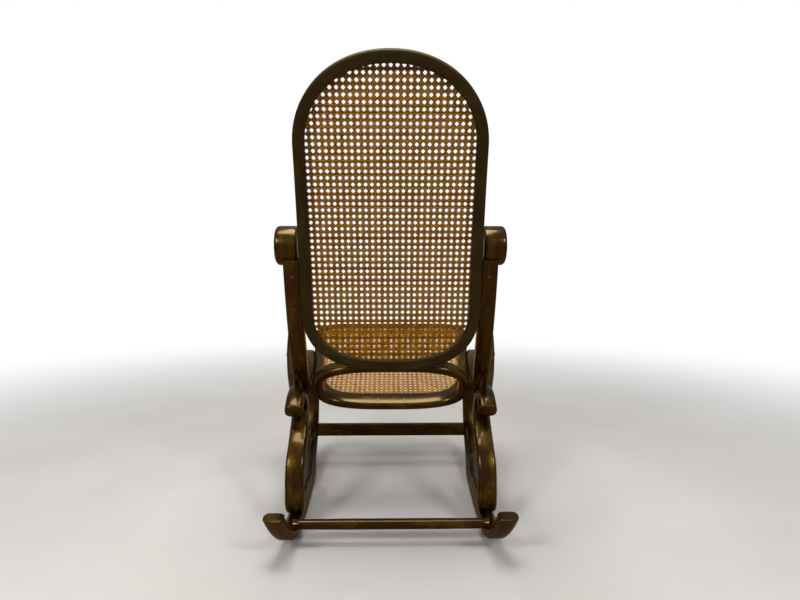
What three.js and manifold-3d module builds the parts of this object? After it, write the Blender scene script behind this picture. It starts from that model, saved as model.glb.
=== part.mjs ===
// Bentwood rocking chair with a caned back and a caned seat.
// Millimetres, +Z up. The chair faces -Y, the sitter's left hand is at +X, and Z = 0 is the floor.
// The origin lies on the floor under the middle of the chair.
import * as THREE from "three";
import { mergeGeometries, mergeVertices } from "three/addons/utils/BufferGeometryUtils.js";
import { TessellateModifier } from "three/addons/modifiers/TessellateModifier.js";
import Module from "manifold-3d";

const wasm = await Module();
wasm.setup();

// Driving dimensions of the whole chair
const chairDepth = 790;
const backTop = 1047;
const armTop = 722;
const sideReach = 290;

// Clearance between pieces that touch, and the overrun of every cut
const clearance = 0.3;
const overrun = 4;

// Bent sticks of the side frames
const stickThickness = 27;
const runnerWidth = 41;
const armWidth = 52;
const loopWidth = 41;
const lowerScrollWidth = 47;
const stickRound = 8;
const scrollFlareShare = 0.9;
const armTaperShares = [0.25, 0.45];

// Runner stick: rocker arc on the floor, front curl, run under the arm and lower scroll
const rockerRadius = 1261;
const restY = -37;
const restDepth = 1;
const curlRadius = 165;
const lowerScrollRadius = 36;
const lowerScrollTurn = 76;
const lowerScrollY = 69;
const scrollFaceReach = 41;
const scrollFaceTiltDegrees = 16;
const lowerScrollTop = 335;
const tipRise = 52;
const tipLength = 150;
const tipReachShare = 0.72;
const runLevelShare = 0.6;
const runDropShare = 0.7;

// Arm stick: arm scroll at the rear, arm, front bend, run under the seat and rear loop
const armScrollRadius = 30;
const armScrollTurn = 200;
const armScrollY = 178;
const loopHeelRadius = 50;
const loopRearY = 180;
const loopEndY = -29;

// Side posts between the lower scrolls and the arm scrolls
const postWidth = 39;
const postDepth = 26;
const postTopY = 221;
const postBottomY = 105;
const postBow = 12;

// Back: a closed hoop bent to the sitter's spine
const backPostLap = 2.04;
const backBottom = 389;
const backRimWidth = 28;
const backRimDepth = 20;
const rimRound = 4;
const backShoulder = 190;
const backHeel = 165;

// Seat: a closed frame that slopes up to the front
const seatRearY = 37;
const seatFrontY = -386;
const seatOverRun = 2.1;
const seatSlopeDegrees = 18.8;
const seatRearReachShare = 0.68;
const seatFrontReachShare = 0.855;
const seatRimWidth = 40;
const seatRimDepth = 32;
const seatRearCorner = 62;
const seatFrontCorner = 96;

// Cane panels, held by a spline in a rebate of the front or top face
const caneThickness = 2;
const caneBorder = 11;
const rebateDepth = 5.5;
const splineWidth = 5;
const backCaneColumns = 9;
const backCaneRows = 13;
const seatCaneColumns = 9;
const seatCaneRows = 9;
const caneStrand = 9;

// Oval ring between the foot of the back and the rear of the seat
const ringReachShare = 0.641;
const ringSpanShare = 0.965;
const ringWall = 20;
const ringDepth = 34;
const ringRound = 5;
const ringForward = 12.5;
const ringRaise = 1.5;
const ringUprightDegrees = 16;

// Cross pieces
const rodDiameter = 24;
const rodInset = 143;
const rodSocket = 14;
const stretcherHeight = 40;
const stretcherThickness = 16;
const stretcherInset = 55;

// Fasteners
const screwHead = 8;
const screwShank = 4.5;
const screwLength = 34;
const boltHead = 16;
const boltShank = 6;
const boltHeadHeight = 3;
const screwHeadHeight = 2;
const dowelDiameter = 8;
const dowelLength = 26;
const ringScrewSpacing = 68;
const ringSeatScrewRiseShare = 0.9;
const ringBackScrewRiseShare = 0.1;
const seatBoltGaps = [57];
const loopScrewYs = [2, 58];
const boltDepthShare = 0.6;
const postScrewShares = [0.175, 0.39, 0.82];
const postScrewDepthShare = 0.8;
const stretcherScrewShare = 0.24;
const stretcherRoundShare = 0.35;

// Facets of round shapes
const stickSteps = 46;
const postSteps = 5;
const cornerSteps = 2;
const longFacet = 70;
const longestEdge = 110;
const splitRounds = 12;
const bendPerFacet = 0.18;
const hoopPoints = 60;
const hoopBendShare = 0.38;
const hoopSideShare = 0.12;
const seatCornerPoints = 6;
const scrollPoints = 8;
const heelPoints = 5;
const landingPoints = 4;
const curveSamples = 600;
const planHalvings = 30;
const bevelFacets = 2;
const ringBevelFacets = 1;
const ringPoints = 40;
const turnedSides = 10;
const screwSides = 8;

const walnut = new THREE.MeshStandardMaterial({ color: "#3a2210", roughness: 0.25, metalness: 0 });
const dustyWalnut = new THREE.MeshStandardMaterial({ color: "#3f3a20", roughness: 0.6, metalness: 0 });
const cane = new THREE.MeshStandardMaterial({ color: "#c2904c", roughness: 0.5, metalness: 0 });
const splineCane = new THREE.MeshStandardMaterial({ color: "#8e6230", roughness: 0.5, metalness: 0 });
const steel = new THREE.MeshStandardMaterial({ color: "#8d8679", roughness: 0.35, metalness: 1 });

const chair = new THREE.Group();

// Closed geometry to a solid for cuts, and back
function solidOf(geometry) {
  const bare = geometry.clone();
  bare.deleteAttribute("normal");
  bare.deleteAttribute("uv");
  const merged = mergeVertices(bare);
  const mesh = new wasm.Mesh({
    numProp: 3,
    vertProperties: new Float32Array(merged.attributes.position.array),
    triVerts: new Uint32Array(merged.index.array),
  });
  return new wasm.Manifold(mesh);
}

function geometryOf(solid) {
  const mesh = solid.getMesh();
  const geometry = new THREE.BufferGeometry();
  geometry.setAttribute("position", new THREE.BufferAttribute(mesh.vertProperties, 3));
  geometry.setIndex(new THREE.BufferAttribute(mesh.triVerts, 1));
  return geometry;
}

function cut(geometry, cutters) {
  let solid = solidOf(geometry);
  for (const cutter of cutters) solid = solid.subtract(solidOf(cutter));
  const pieces = solid.decompose();
  pieces.sort((a, b) => b.volume() - a.volume());
  return geometryOf(pieces[0]);
}

function mirrored(geometry) {
  const copy = geometry.clone().applyMatrix4(new THREE.Matrix4().makeScale(-1, 1, 1));
  const index = copy.index ?? mergeVertices(copy).index;
  const whole = copy.index ? copy : mergeVertices(copy);
  const turned = Array.from(index.array);
  for (let i = 0; i < turned.length; i += 3) [turned[i + 1], turned[i + 2]] = [turned[i + 2], turned[i + 1]];
  whole.setIndex(turned);
  return whole;
}

function add(name, geometry, material) {
  const mesh = new THREE.Mesh(geometry, material);
  mesh.name = name;
  chair.add(mesh);
}

// The same piece on both sides of the chair, modelled at the sitter's left
function addPair(name, geometry, material) {
  add(`left_${name}`, geometry, material);
  add(`right_${name}`, mirrored(geometry), material);
}

function addEach(name, geometries, material) {
  geometries.forEach((geometry, i) => add(`${name}_${i + 1}`, geometry, material));
}

function addPairs(name, geometries, material) {
  addEach(`left_${name}`, geometries, material);
  addEach(`right_${name}`, geometries.map(mirrored), material);
}

function roundedSection(width, depth, round) {
  const points = [];
  const corners = [[1, -1, -90], [1, 1, 0], [-1, 1, 90], [-1, -1, 180]];
  for (const [sideways, upward, from] of corners) {
    for (let step = 0; step <= cornerSteps; step += 1) {
      const angle = THREE.MathUtils.degToRad(from + (90 * step) / cornerSteps);
      points.push(new THREE.Vector2(
        sideways * (width / 2 - round) + round * Math.cos(angle),
        upward * (depth / 2 - round) + round * Math.sin(angle),
      ));
    }
  }
  return new THREE.Shape(points);
}

// Places along a curve for its facets: closer together where it bends
function facetPlaces(curve, steps) {
  const length = curve.getLength();
  const reached = [0];
  let before = curve.getTangentAt(0);
  for (let i = 1; i <= curveSamples; i += 1) {
    const tangent = curve.getTangentAt(i / curveSamples);
    reached.push(reached[i - 1] + length / curveSamples / longFacet + tangent.angleTo(before) / bendPerFacet);
    before = tangent;
  }
  const places = [];
  let at = 0;
  for (let i = 0; i <= steps; i += 1) {
    const wanted = (reached[curveSamples] * i) / steps;
    while (at < curveSamples - 1 && reached[at + 1] < wanted) at += 1;
    const share = (wanted - reached[at]) / (reached[at + 1] - reached[at]);
    places.push(Math.min((at + share) / curveSamples, 1));
  }
  return places;
}

// A straight bar bent along a curve, as a steamed stick is: its width stays across the chair
function bentStick(curve, widthAt, thickness, grow, steps) {
  const unit = widthAt(0);
  const section = roundedSection(unit + 2 * grow, thickness + 2 * grow, stickRound);
  const bar = new THREE.ExtrudeGeometry(section, {
    depth: 1, steps, bevelEnabled: false,
  });
  const place = bar.attributes.position;
  const frames = [];
  for (const t of facetPlaces(curve, steps)) {
    const tangent = curve.getTangentAt(t);
    const across = new THREE.Vector3(1, 0, 0).addScaledVector(tangent, -tangent.x).normalize();
    frames.push({
      middle: curve.getPointAt(t),
      across,
      outward: new THREE.Vector3().crossVectors(across, tangent),
      stretch: (widthAt(t) + 2 * grow) / (unit + 2 * grow),
    });
  }
  for (let i = 0; i < place.count; i += 1) {
    const frame = frames[Math.round(place.getZ(i) * steps)];
    const point = frame.middle.clone()
      .addScaledVector(frame.across, place.getX(i) * frame.stretch)
      .addScaledVector(frame.outward, -place.getY(i));
    place.setXYZ(i, point.x, point.y, point.z);
  }
  return pointingOut(bar);
}

// Turns a closed geometry the right way round where a bend has turned it inside out
function pointingOut(geometry) {
  const bare = geometry.clone();
  bare.deleteAttribute("normal");
  bare.deleteAttribute("uv");
  const whole = mergeVertices(bare);
  const place = whole.attributes.position;
  const index = Array.from(whole.index.array);
  const corner = [0, 1, 2].map(() => new THREE.Vector3());
  let volume = 0;
  for (let i = 0; i < index.length; i += 3) {
    corner.forEach((c, k) => c.fromBufferAttribute(place, index[i + k]));
    volume += corner[0].dot(corner[1].clone().cross(corner[2]));
  }
  if (volume < 0) {
    for (let i = 0; i < index.length; i += 3) [index[i + 1], index[i + 2]] = [index[i + 2], index[i + 1]];
    whole.setIndex(index);
  }
  return whole;
}

// Plan of the side frames: how far they stand from the middle, from the rear tips to the front
const planDepthShares = [0.893, 0.72, 0.572, 0.253, -0.163, -0.377, -0.557, -0.754, -1];
const planReachShares = [0.846, 0.807, 0.79, 0.802, 0.821, 0.829, 0.855, 0.878, 0.886];
const plan = new THREE.SplineCurve(planDepthShares.map(
  (share, i) => new THREE.Vector2((share * chairDepth) / 2, planReachShares[i] * sideReach),
));

function sideX(y) {
  let low = 0;
  let high = 1;
  for (let i = 0; i < planHalvings; i += 1) {
    const middle = (low + high) / 2;
    if (plan.getPoint(middle).x > y) low = middle;
    else high = middle;
  }
  return plan.getPoint((low + high) / 2).y;
}

// A curve drawn in the side view that takes its distance from the middle from a function
class SideCurve extends THREE.Curve {
  constructor(flat, xAt) {
    super();
    this.flat = flat;
    this.xAt = xAt;
    this.arcLengthDivisions = curveSamples;
  }

  getPoint(t, target = new THREE.Vector3()) {
    const point = this.flat.getPoint(Math.min(Math.max(t, 0), 1));
    return target.set(this.xAt(point.x, t), point.x, point.y);
  }
}

// Arc in the side view. Angles are in degrees from +Y towards +Z.
function sideArc(y, z, radius, from, to) {
  const turn = Math.PI / 180;
  return new THREE.EllipseCurve(y, z, radius, radius, from * turn, to * turn, to < from, 0);
}

const half = stickThickness / 2;
const rockerMiddleRadius = rockerRadius - half;
const rockerZ = rockerRadius - restDepth;
const frontY = -chairDepth / 2;
const curlY = frontY + half + curlRadius;
const curlSlope = Math.asin((restY - curlY) / (rockerMiddleRadius - curlRadius));
const curlZ = rockerZ - (rockerMiddleRadius - curlRadius) * Math.cos(curlSlope);
const curlSlopeDegrees = THREE.MathUtils.radToDeg(curlSlope);

// Runner stick, from its rear tip forward
const tipStartSlope = Math.asin((chairDepth / 2 - tipLength - restY) / rockerMiddleRadius);
const tipStartY = restY + rockerMiddleRadius * Math.sin(tipStartSlope);
const tipStartZ = rockerZ - rockerMiddleRadius * Math.cos(tipStartSlope);
const tipEndY = tipStartY + tipLength * tipReachShare;
const tipEndZ = tipStartZ + (tipEndY - tipStartY) * Math.tan(tipStartSlope) + tipRise;
const tipBendY = (tipStartY + tipEndY) / 2;
const tipBendZ = tipStartZ + (tipBendY - tipStartY) * Math.tan(tipStartSlope);
const scrollZ = lowerScrollTop - half - lowerScrollRadius;

function runnerFlat() {
  const flat = new THREE.CurvePath();
  flat.add(new THREE.QuadraticBezierCurve(
    new THREE.Vector2(tipEndY, tipEndZ),
    new THREE.Vector2(tipBendY, tipBendZ),
    new THREE.Vector2(tipStartY, tipStartZ),
  ));
  flat.add(sideArc(restY, rockerZ, rockerMiddleRadius,
    -90 + THREE.MathUtils.radToDeg(tipStartSlope), -90 - curlSlopeDegrees));
  flat.add(sideArc(curlY, curlZ, curlRadius, -90 - curlSlopeDegrees, -270));
  flat.add(new THREE.CubicBezierCurve(
    new THREE.Vector2(curlY, curlZ + curlRadius),
    new THREE.Vector2(THREE.MathUtils.lerp(curlY, lowerScrollY, runLevelShare), curlZ + curlRadius),
    new THREE.Vector2(THREE.MathUtils.lerp(curlY, lowerScrollY, runDropShare), scrollZ + lowerScrollRadius),
    new THREE.Vector2(lowerScrollY, scrollZ + lowerScrollRadius),
  ));
  flat.add(sideArc(lowerScrollY, scrollZ, lowerScrollRadius, 90, 90 - lowerScrollTurn));
  return flat;
}

const runnerCurve = new SideCurve(runnerFlat(), (y) => sideX(y));
const runnerWidthAt = (t) => runnerWidth
  + (lowerScrollWidth - runnerWidth) * THREE.MathUtils.smoothstep(t, scrollFlareShare, 1);

// Arm stick, from its scroll at the rear: arm, front bend, run under the seat, rear loop
const armScrollZ = armTop - half - armScrollRadius;
const armDepthShares = [
  0.157, -0.162, -0.43, -0.608, -0.691, -0.678, -0.597, -0.446, -0.233, -0.01, 0.157, 0.304, 0.39,
];
const armRiseShares = [
  0.974, 0.956, 0.914, 0.831, 0.713, 0.602, 0.508, 0.428, 0.368, 0.345, 0.321, 0.266, 0.201,
];
const armReachShares = [
  0.859, 0.917, 0.966, 0.993, 1.003, 1.003, 1.003, 0.966, 0.893, 0.828, 0.79, 0.781, 0.79,
];
const armScrollReachShare = 0.813;
const heelY = loopRearY - half - loopHeelRadius;
const landingRadius = rockerMiddleRadius - stickThickness - clearance;
const heelSlope = Math.asin((heelY - restY) / (landingRadius - loopHeelRadius));
const heelZ = rockerZ - (landingRadius - loopHeelRadius) * Math.cos(heelSlope);
const landingSlope = Math.asin((loopEndY - restY) / landingRadius);

function arcPoints(arc, count, xAt) {
  return arc.getPoints(count).map((p) => new THREE.Vector3(xAt(p.x), p.x, p.y));
}

function armCurvePoints() {
  const scroll = sideArc(armScrollY, armScrollZ, armScrollRadius, 90 - armScrollTurn, 90);
  const heel = sideArc(heelY, heelZ, loopHeelRadius, 0, -90 + THREE.MathUtils.radToDeg(heelSlope));
  const landing = sideArc(restY, rockerZ, landingRadius,
    -90 + THREE.MathUtils.radToDeg(heelSlope), -90 + THREE.MathUtils.radToDeg(landingSlope));
  return [
    ...arcPoints(scroll, scrollPoints, () => armScrollReachShare * sideReach),
    ...armDepthShares.map((share, i) => new THREE.Vector3(
      armReachShares[i] * sideReach, (share * chairDepth) / 2, armRiseShares[i] * armTop,
    )),
    ...arcPoints(heel, heelPoints, sideX),
    ...arcPoints(landing, landingPoints, sideX).slice(1),
  ];
}

const armCurve = new THREE.CatmullRomCurve3(armCurvePoints(), false, "centripetal");
armCurve.arcLengthDivisions = curveSamples;
const armWidthAt = (t) => armWidth
  + (loopWidth - armWidth) * THREE.MathUtils.smoothstep(t, armTaperShares[0], armTaperShares[1]);

// Where the arm stick passes outside the run of the runner stick, seen from the side
function crossingOf(one, other) {
  const ones = one.getSpacedPoints(curveSamples);
  const others = other.getSpacedPoints(curveSamples);
  let best = ones[0];
  let least = Infinity;
  for (const p of ones) {
    for (const q of others) {
      const away = Math.hypot(p.y - q.y, p.z - q.z);
      if (away < least) [least, best] = [away, p];
    }
  }
  return best;
}

const crossing = crossingOf(armCurve, runnerCurve);

// Point of a curve nearest to a place in the side view
function nearestOn(curve, y, z) {
  let best = 0;
  let least = Infinity;
  for (let i = 0; i <= curveSamples; i += 1) {
    const p = curve.getPointAt(i / curveSamples);
    const away = Math.hypot(p.y - y, p.z - z);
    if (away < least) [least, best] = [away, i / curveSamples];
  }
  return curve.getPointAt(best);
}

// Side posts, bowed forward at the foot
const postReachShare = 0.774;
const postX = postReachShare * sideReach;
const postCurve = new THREE.QuadraticBezierCurve3(
  new THREE.Vector3(postX, postTopY - postDepth / 2, armScrollZ),
  new THREE.Vector3(postX, (postTopY + postBottomY) / 2 - postDepth / 2 - postBow,
    (armScrollZ + scrollZ) / 2),
  new THREE.Vector3(postX, postBottomY - postDepth / 2 - postBow, scrollZ + lowerScrollRadius),
);

const backHalfWidth = postX - postWidth / 2 + backPostLap;

// Back hoop: a flat outline across and along the back, bent to the profile of the spine
const backRearY = chairDepth / 2;
const backFootY = 158;
const backRise = backTop - backBottom;
const backLean = backRearY - backFootY;
const profileLeanShares = [0, 0.237, 0.576, 1];
const profileRiseShares = [0, 0.343, 0.676, 1];
const backProfile = new THREE.SplineCurve(profileLeanShares.map(
  (share, i) => new THREE.Vector2(backFootY + share * backLean, backBottom + profileRiseShares[i] * backRise),
));
const backLength = backProfile.getLength();
const hoopFullness = 2.55;

function fullOval(angle, halfWidth, reach) {
  const c = Math.cos(angle);
  const s = Math.sin(angle);
  const bend = 2 / hoopFullness;
  return new THREE.Vector2(
    halfWidth * Math.sign(c) * Math.abs(c) ** bend,
    reach * Math.sign(s) * Math.abs(s) ** bend,
  );
}

// Outline of the back, inset from its outer edge
function backOutline(inset) {
  const points = [];
  const bends = Math.round(hoopPoints * hoopBendShare);
  const upper = backLength - backShoulder;
  for (let i = 0; i <= bends; i += 1) {
    const p = fullOval((Math.PI * i) / bends, backHalfWidth - inset, backShoulder - inset);
    points.push(new THREE.Vector2(p.x, upper + p.y));
  }
  const straight = Math.round(hoopPoints * hoopSideShare);
  for (let i = 1; i < straight; i += 1) {
    points.push(new THREE.Vector2(-backHalfWidth + inset, upper + ((backHeel - upper) * i) / straight));
  }
  for (let i = 0; i <= bends; i += 1) {
    const p = fullOval(Math.PI + (Math.PI * i) / bends, backHalfWidth - inset, backHeel - inset);
    points.push(new THREE.Vector2(p.x, backHeel + p.y));
  }
  for (let i = 1; i < straight; i += 1) {
    points.push(new THREE.Vector2(backHalfWidth - inset, backHeel + ((upper - backHeel) * i) / straight));
  }
  return points;
}

// Point of the back: across, along from the foot, and forward of its rear face
function onBack(u, v, w) {
  const t = Math.min(Math.max(v / backLength, 0), 1);
  const p = backProfile.getPointAt(t);
  const tangent = backProfile.getTangentAt(t);
  const past = v - t * backLength;
  return new THREE.Vector3(
    u,
    p.x + tangent.x * past - tangent.y * w,
    p.y + tangent.y * past + tangent.x * w,
  );
}

// Seat: a flat outline on a plane that slopes up to the front
const seatSlope = THREE.MathUtils.degToRad(seatSlopeDegrees);
const seatLength = (seatRearY - seatFrontY) / Math.cos(seatSlope);
const seatRearHalfWidth = seatRearReachShare * sideReach;
const seatFrontHalfWidth = seatFrontReachShare * sideReach;

// The seat is bolted to the runs of the runner sticks, clear of where the arm sticks cross them
const seatBoltRuns = seatBoltGaps.map((gap) => nearestOn(runnerCurve, crossing.y + gap, crossing.z));
const seatRearTop = seatBoltRuns[0].z + seatOverRun - (seatRearY - seatBoltRuns[0].y) * Math.tan(seatSlope);

function seatOutline(inset) {
  const rear = new THREE.Vector2(seatRearHalfWidth - inset, inset);
  const front = new THREE.Vector2(seatFrontHalfWidth - inset, seatLength - inset);
  const side = front.clone().sub(rear).normalize();
  const rearCorner = seatRearCorner - inset / 2;
  const frontCorner = seatFrontCorner - inset / 2;
  const outline = new THREE.Path();
  outline.moveTo(-rear.x + rearCorner, rear.y);
  outline.lineTo(rear.x - rearCorner, rear.y);
  outline.quadraticCurveTo(rear.x, rear.y, rear.x + side.x * rearCorner, rear.y + side.y * rearCorner);
  outline.lineTo(front.x - side.x * frontCorner, front.y - side.y * frontCorner);
  outline.quadraticCurveTo(front.x, front.y, front.x - frontCorner, front.y);
  outline.lineTo(-front.x + frontCorner, front.y);
  outline.quadraticCurveTo(-front.x, front.y, -front.x + side.x * frontCorner, front.y - side.y * frontCorner);
  outline.lineTo(-rear.x - side.x * rearCorner, rear.y + side.y * rearCorner);
  outline.quadraticCurveTo(-rear.x, rear.y, -rear.x + rearCorner, rear.y);
  const points = outline.getPoints(seatCornerPoints);
  return points.filter((p, i) => i === 0 || p.distanceTo(points[i - 1]) > clearance).slice(0, -1);
}

// Point of the seat: across, forward from its rear edge, and up from its top face
function onSeat(u, v, w) {
  return new THREE.Vector3(
    u,
    seatRearY - v * Math.cos(seatSlope) - w * -Math.sin(seatSlope),
    seatRearTop + v * Math.sin(seatSlope) + w * Math.cos(seatSlope),
  );
}

// A flat ring between two outlines, with rounded edges
function hoop(outer, inner, from, depth, round, bevelSegments = bevelFacets) {
  const shape = new THREE.Shape(outer);
  shape.holes.push(new THREE.Path(inner));
  const options = round > 0
    ? { depth: depth - 2 * round, bevelThickness: round, bevelSize: round, bevelOffset: -round, bevelSegments }
    : { depth, bevelEnabled: false };
  const geometry = new THREE.ExtrudeGeometry(shape, { ...options, steps: 1, curveSegments: 1 });
  return geometry.translate(0, 0, from + round);
}

// Lays a flat piece on a surface of the chair
function laidOn(flat, surface) {
  const geometry = flat.clone();
  const place = geometry.attributes.position;
  for (let i = 0; i < place.count; i += 1) {
    const p = surface(place.getX(i), place.getY(i), place.getZ(i));
    place.setXYZ(i, p.x, p.y, p.z);
  }
  return pointingOut(geometry);
}

function plate(outline, from, depth) {
  const geometry = new THREE.ExtrudeGeometry(new THREE.Shape(outline), { depth, bevelEnabled: false });
  geometry.translate(0, 0, from);
  return geometry;
}

// The same where the surface is bent: long edges are split first, so that they follow it
function bentOn(flat, surface) {
  const bare = flat.index ? flat.toNonIndexed() : flat.clone();
  bare.deleteAttribute("normal");
  bare.deleteAttribute("uv");
  return laidOn(new TessellateModifier(longestEdge, splitRounds).modify(bare), surface);
}

// Inside test for the gaps of the cane net
function inside(point, outline) {
  let odd = false;
  for (let i = 0, j = outline.length - 1; i < outline.length; j = i, i += 1) {
    const a = outline[i];
    const b = outline[j];
    const crosses = a.y > point.y !== b.y > point.y;
    if (crosses && point.x < ((b.x - a.x) * (point.y - a.y)) / (b.y - a.y) + a.x) odd = !odd;
  }
  return odd;
}

// The cane net: a thin panel with a coarse grid of gaps, strands between them
function caneNet(edge, open, columns, rows, from, surface) {
  const reach = Math.max(...open.map((p) => p.x));
  const low = Math.min(...open.map((p) => p.y));
  const high = Math.max(...open.map((p) => p.y));
  const across = (2 * reach) / columns;
  const along = (high - low) / rows;
  const gapWidth = across - caneStrand;
  const gapLength = along - caneStrand;
  const gaps = [];
  for (let column = 0; column < columns; column += 1) {
    for (let row = 0; row < rows; row += 1) {
      const x = -reach + (column + 0.5) * across;
      const y = low + (row + 0.5) * along;
      const corners = [[-1, -1], [-1, 1], [1, 1], [1, -1]].map(([i, j]) => new THREE.Vector2(
        x + (i * gapWidth) / 2, y + (j * gapLength) / 2,
      ));
      if (corners.every((corner) => inside(corner, open))) {
        const gap = new THREE.BoxGeometry(gapWidth, gapLength, caneThickness + 2 * overrun);
        gaps.push(gap.translate(x, y, from + caneThickness / 2));
      }
    }
  }
  return bentOn(cut(plate(edge, from, caneThickness), [mergeGeometries(gaps)]), surface);
}

// Turned fastener with its head at the origin and its shank along -Z
function fastener(head, headHeight, shank, length, grow) {
  const radius = head / 2 + grow;
  const core = shank / 2 + grow;
  const top = grow > 0 ? overrun : 0;
  return new THREE.LatheGeometry([
    new THREE.Vector2(0, top),
    new THREE.Vector2(radius, top),
    new THREE.Vector2(radius, -headHeight - grow),
    new THREE.Vector2(core, -headHeight - grow),
    new THREE.Vector2(core, -length - grow),
    new THREE.Vector2(0, -length - grow),
  ], screwSides);
}

// Places a piece that points along +Y of its own frame so that its head faces a direction
function aimed(geometry, place, facing) {
  const turn = new THREE.Quaternion().setFromUnitVectors(new THREE.Vector3(0, 1, 0), facing.clone().normalize());
  return pointingOut(geometry.clone().applyQuaternion(turn).translate(place.x, place.y, place.z));
}

// One kind of fastener at several places: its solids, and the room that the wood leaves for them
function fasteners(places, head, headHeight, shank, length) {
  const at = (grow) => places.map(({ place, facing }) => aimed(
    fastener(head, headHeight, shank, length, grow), place, facing,
  ));
  return { solids: at(0), rooms: at(clearance) };
}

function pin(diameter, length, middle, along, grow) {
  const rod = new THREE.CylinderGeometry(diameter / 2 + grow, diameter / 2 + grow, length + 2 * grow, turnedSides);
  return aimed(rod, middle, along);
}

// Back frame, its cane and the spline that holds the cane in the rebate
const backRebate = plate(backOutline(backRimWidth - caneBorder), backRimDepth - rebateDepth, rebateDepth + overrun);
const backCaneFrom = backRimDepth - rebateDepth + 2 * clearance;
const splineFrom = caneThickness + 2 * clearance;
const backFlatAt = (grow) => hoop(
  backOutline(-grow), backOutline(backRimWidth + grow), -grow, backRimDepth + 2 * grow, rimRound,
);
const backRoom = bentOn(backFlatAt(clearance), onBack);
const backFrame = bentOn(cut(backFlatAt(0), [backRebate]), onBack);
const backCane = caneNet(backOutline(backRimWidth - caneBorder + clearance), backOutline(backRimWidth),
  backCaneColumns, backCaneRows, backCaneFrom, onBack);
const backSpline = bentOn(hoop(
  backOutline(backRimWidth - caneBorder + 2 * clearance),
  backOutline(backRimWidth - caneBorder + 2 * clearance + splineWidth),
  backCaneFrom + splineFrom, rebateDepth - 2 * clearance - splineFrom, 0,
), onBack);

const armStickAt = (grow) => bentStick(armCurve, armWidthAt, stickThickness, grow, stickSteps);
const runnerStickAt = (grow) => bentStick(runnerCurve, runnerWidthAt, stickThickness, grow, stickSteps);
const armRoom = armStickAt(clearance);
const runnerRoom = runnerStickAt(clearance);
const seatFrameAt = (grow) => laidOn(hoop(
  seatOutline(-grow), seatOutline(seatRimWidth + grow), -seatRimDepth - grow, seatRimDepth + 2 * grow, rimRound,
), onSeat);
const seatRoom = seatFrameAt(clearance);

const outwards = new THREE.Vector3(1, 0, 0);

// Bolt through the crossing of the two sticks
const crossingBolt = fasteners([{
  place: crossing.clone().addScaledVector(outwards, loopWidth / 2 + boltHeadHeight),
  facing: outwards,
}], boltHead, boltHeadHeight, boltShank, loopWidth + runnerWidth * boltDepthShare);

// Bolts through the run of the runner stick into the side of the seat, at the height that both share
const seatBolts = fasteners(seatBoltRuns.map((run) => {
  const seatTop = seatRearTop + (seatRearY - run.y) * Math.tan(seatSlope);
  const shared = (seatTop + run.z - half) / 2;
  return { place: new THREE.Vector3(run.x + runnerWidth / 2 + boltHeadHeight, run.y, shared), facing: outwards };
}), boltHead, boltHeadHeight, boltShank, runnerWidth + seatRimWidth * boltDepthShare);

// Screws down through the end of the rear loop into the rocker
const loopScrews = fasteners(loopScrewYs.map((y) => {
  const slope = Math.asin((y - restY) / landingRadius);
  const facing = new THREE.Vector3(0, -Math.sin(slope), Math.cos(slope));
  const place = new THREE.Vector3(sideX(y), restY, rockerZ)
    .addScaledVector(facing, -landingRadius + half);
  return { place, facing };
}), screwHead, screwHeadHeight, screwShank, stickThickness + stickThickness * boltDepthShare);

// Screws in the rear face of each post
const postScrews = fasteners(postScrewShares.map((share) => {
  const p = postCurve.getPointAt(share);
  const tangent = postCurve.getTangentAt(share);
  const rear = new THREE.Vector3(0, tangent.z, -tangent.y).multiplyScalar(-1);
  return { place: p.clone().addScaledVector(rear, postDepth / 2), facing: rear };
}), screwHead, screwHeadHeight, screwShank, postDepth * postScrewDepthShare);

// Dowels between the ends of each post and the outer faces of the two sticks
const postLength = postCurve.getLength();
const dowelShares = [(armScrollRadius + half) / postLength, 1 - half / postLength];
const postDowels = dowelShares.map((share) => {
  const middle = postCurve.getPointAt(share);
  return (grow) => pin(dowelDiameter, dowelLength, middle, postCurve.getTangentAt(share), grow);
});

// Cross rod between the rear ends of the rockers, and its sockets
const rodY = chairDepth / 2 - rodInset;
const rodSpot = nearestOn(runnerCurve, rodY, half + (rodY - restY) ** 2 / (2 * rockerRadius));
const rodLength = 2 * (rodSpot.x - runnerWidth / 2 + rodSocket);
const rodAt = (grow) => pin(rodDiameter, rodLength, new THREE.Vector3(0, rodY, rodSpot.z), outwards, grow);

// Flat stretcher between the fronts of the rockers
const stretcherY = frontY + stretcherInset;
const stretcherSpot = nearestOn(runnerCurve, stretcherY,
  curlZ - Math.sqrt(curlRadius ** 2 - (stretcherY - curlY) ** 2));
const stretcherReach = stretcherSpot.x;
const stretcherBar = new THREE.ExtrudeGeometry(
  roundedSection(stretcherHeight, stretcherThickness, stretcherThickness * stretcherRoundShare),
  { depth: 2 * stretcherReach, bevelEnabled: false, steps: 1 },
).rotateY(Math.PI / 2).translate(-stretcherReach, stretcherY, stretcherSpot.z);
const stretcherScrews = fasteners([-1, 1].map((side) => ({
  place: new THREE.Vector3(
    stretcherSpot.x + runnerWidth / 2, stretcherY,
    stretcherSpot.z + side * stickThickness * stretcherScrewShare,
  ),
  facing: outwards,
})), screwHead, screwHeadHeight, screwShank, runnerWidth + screwLength);

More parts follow.
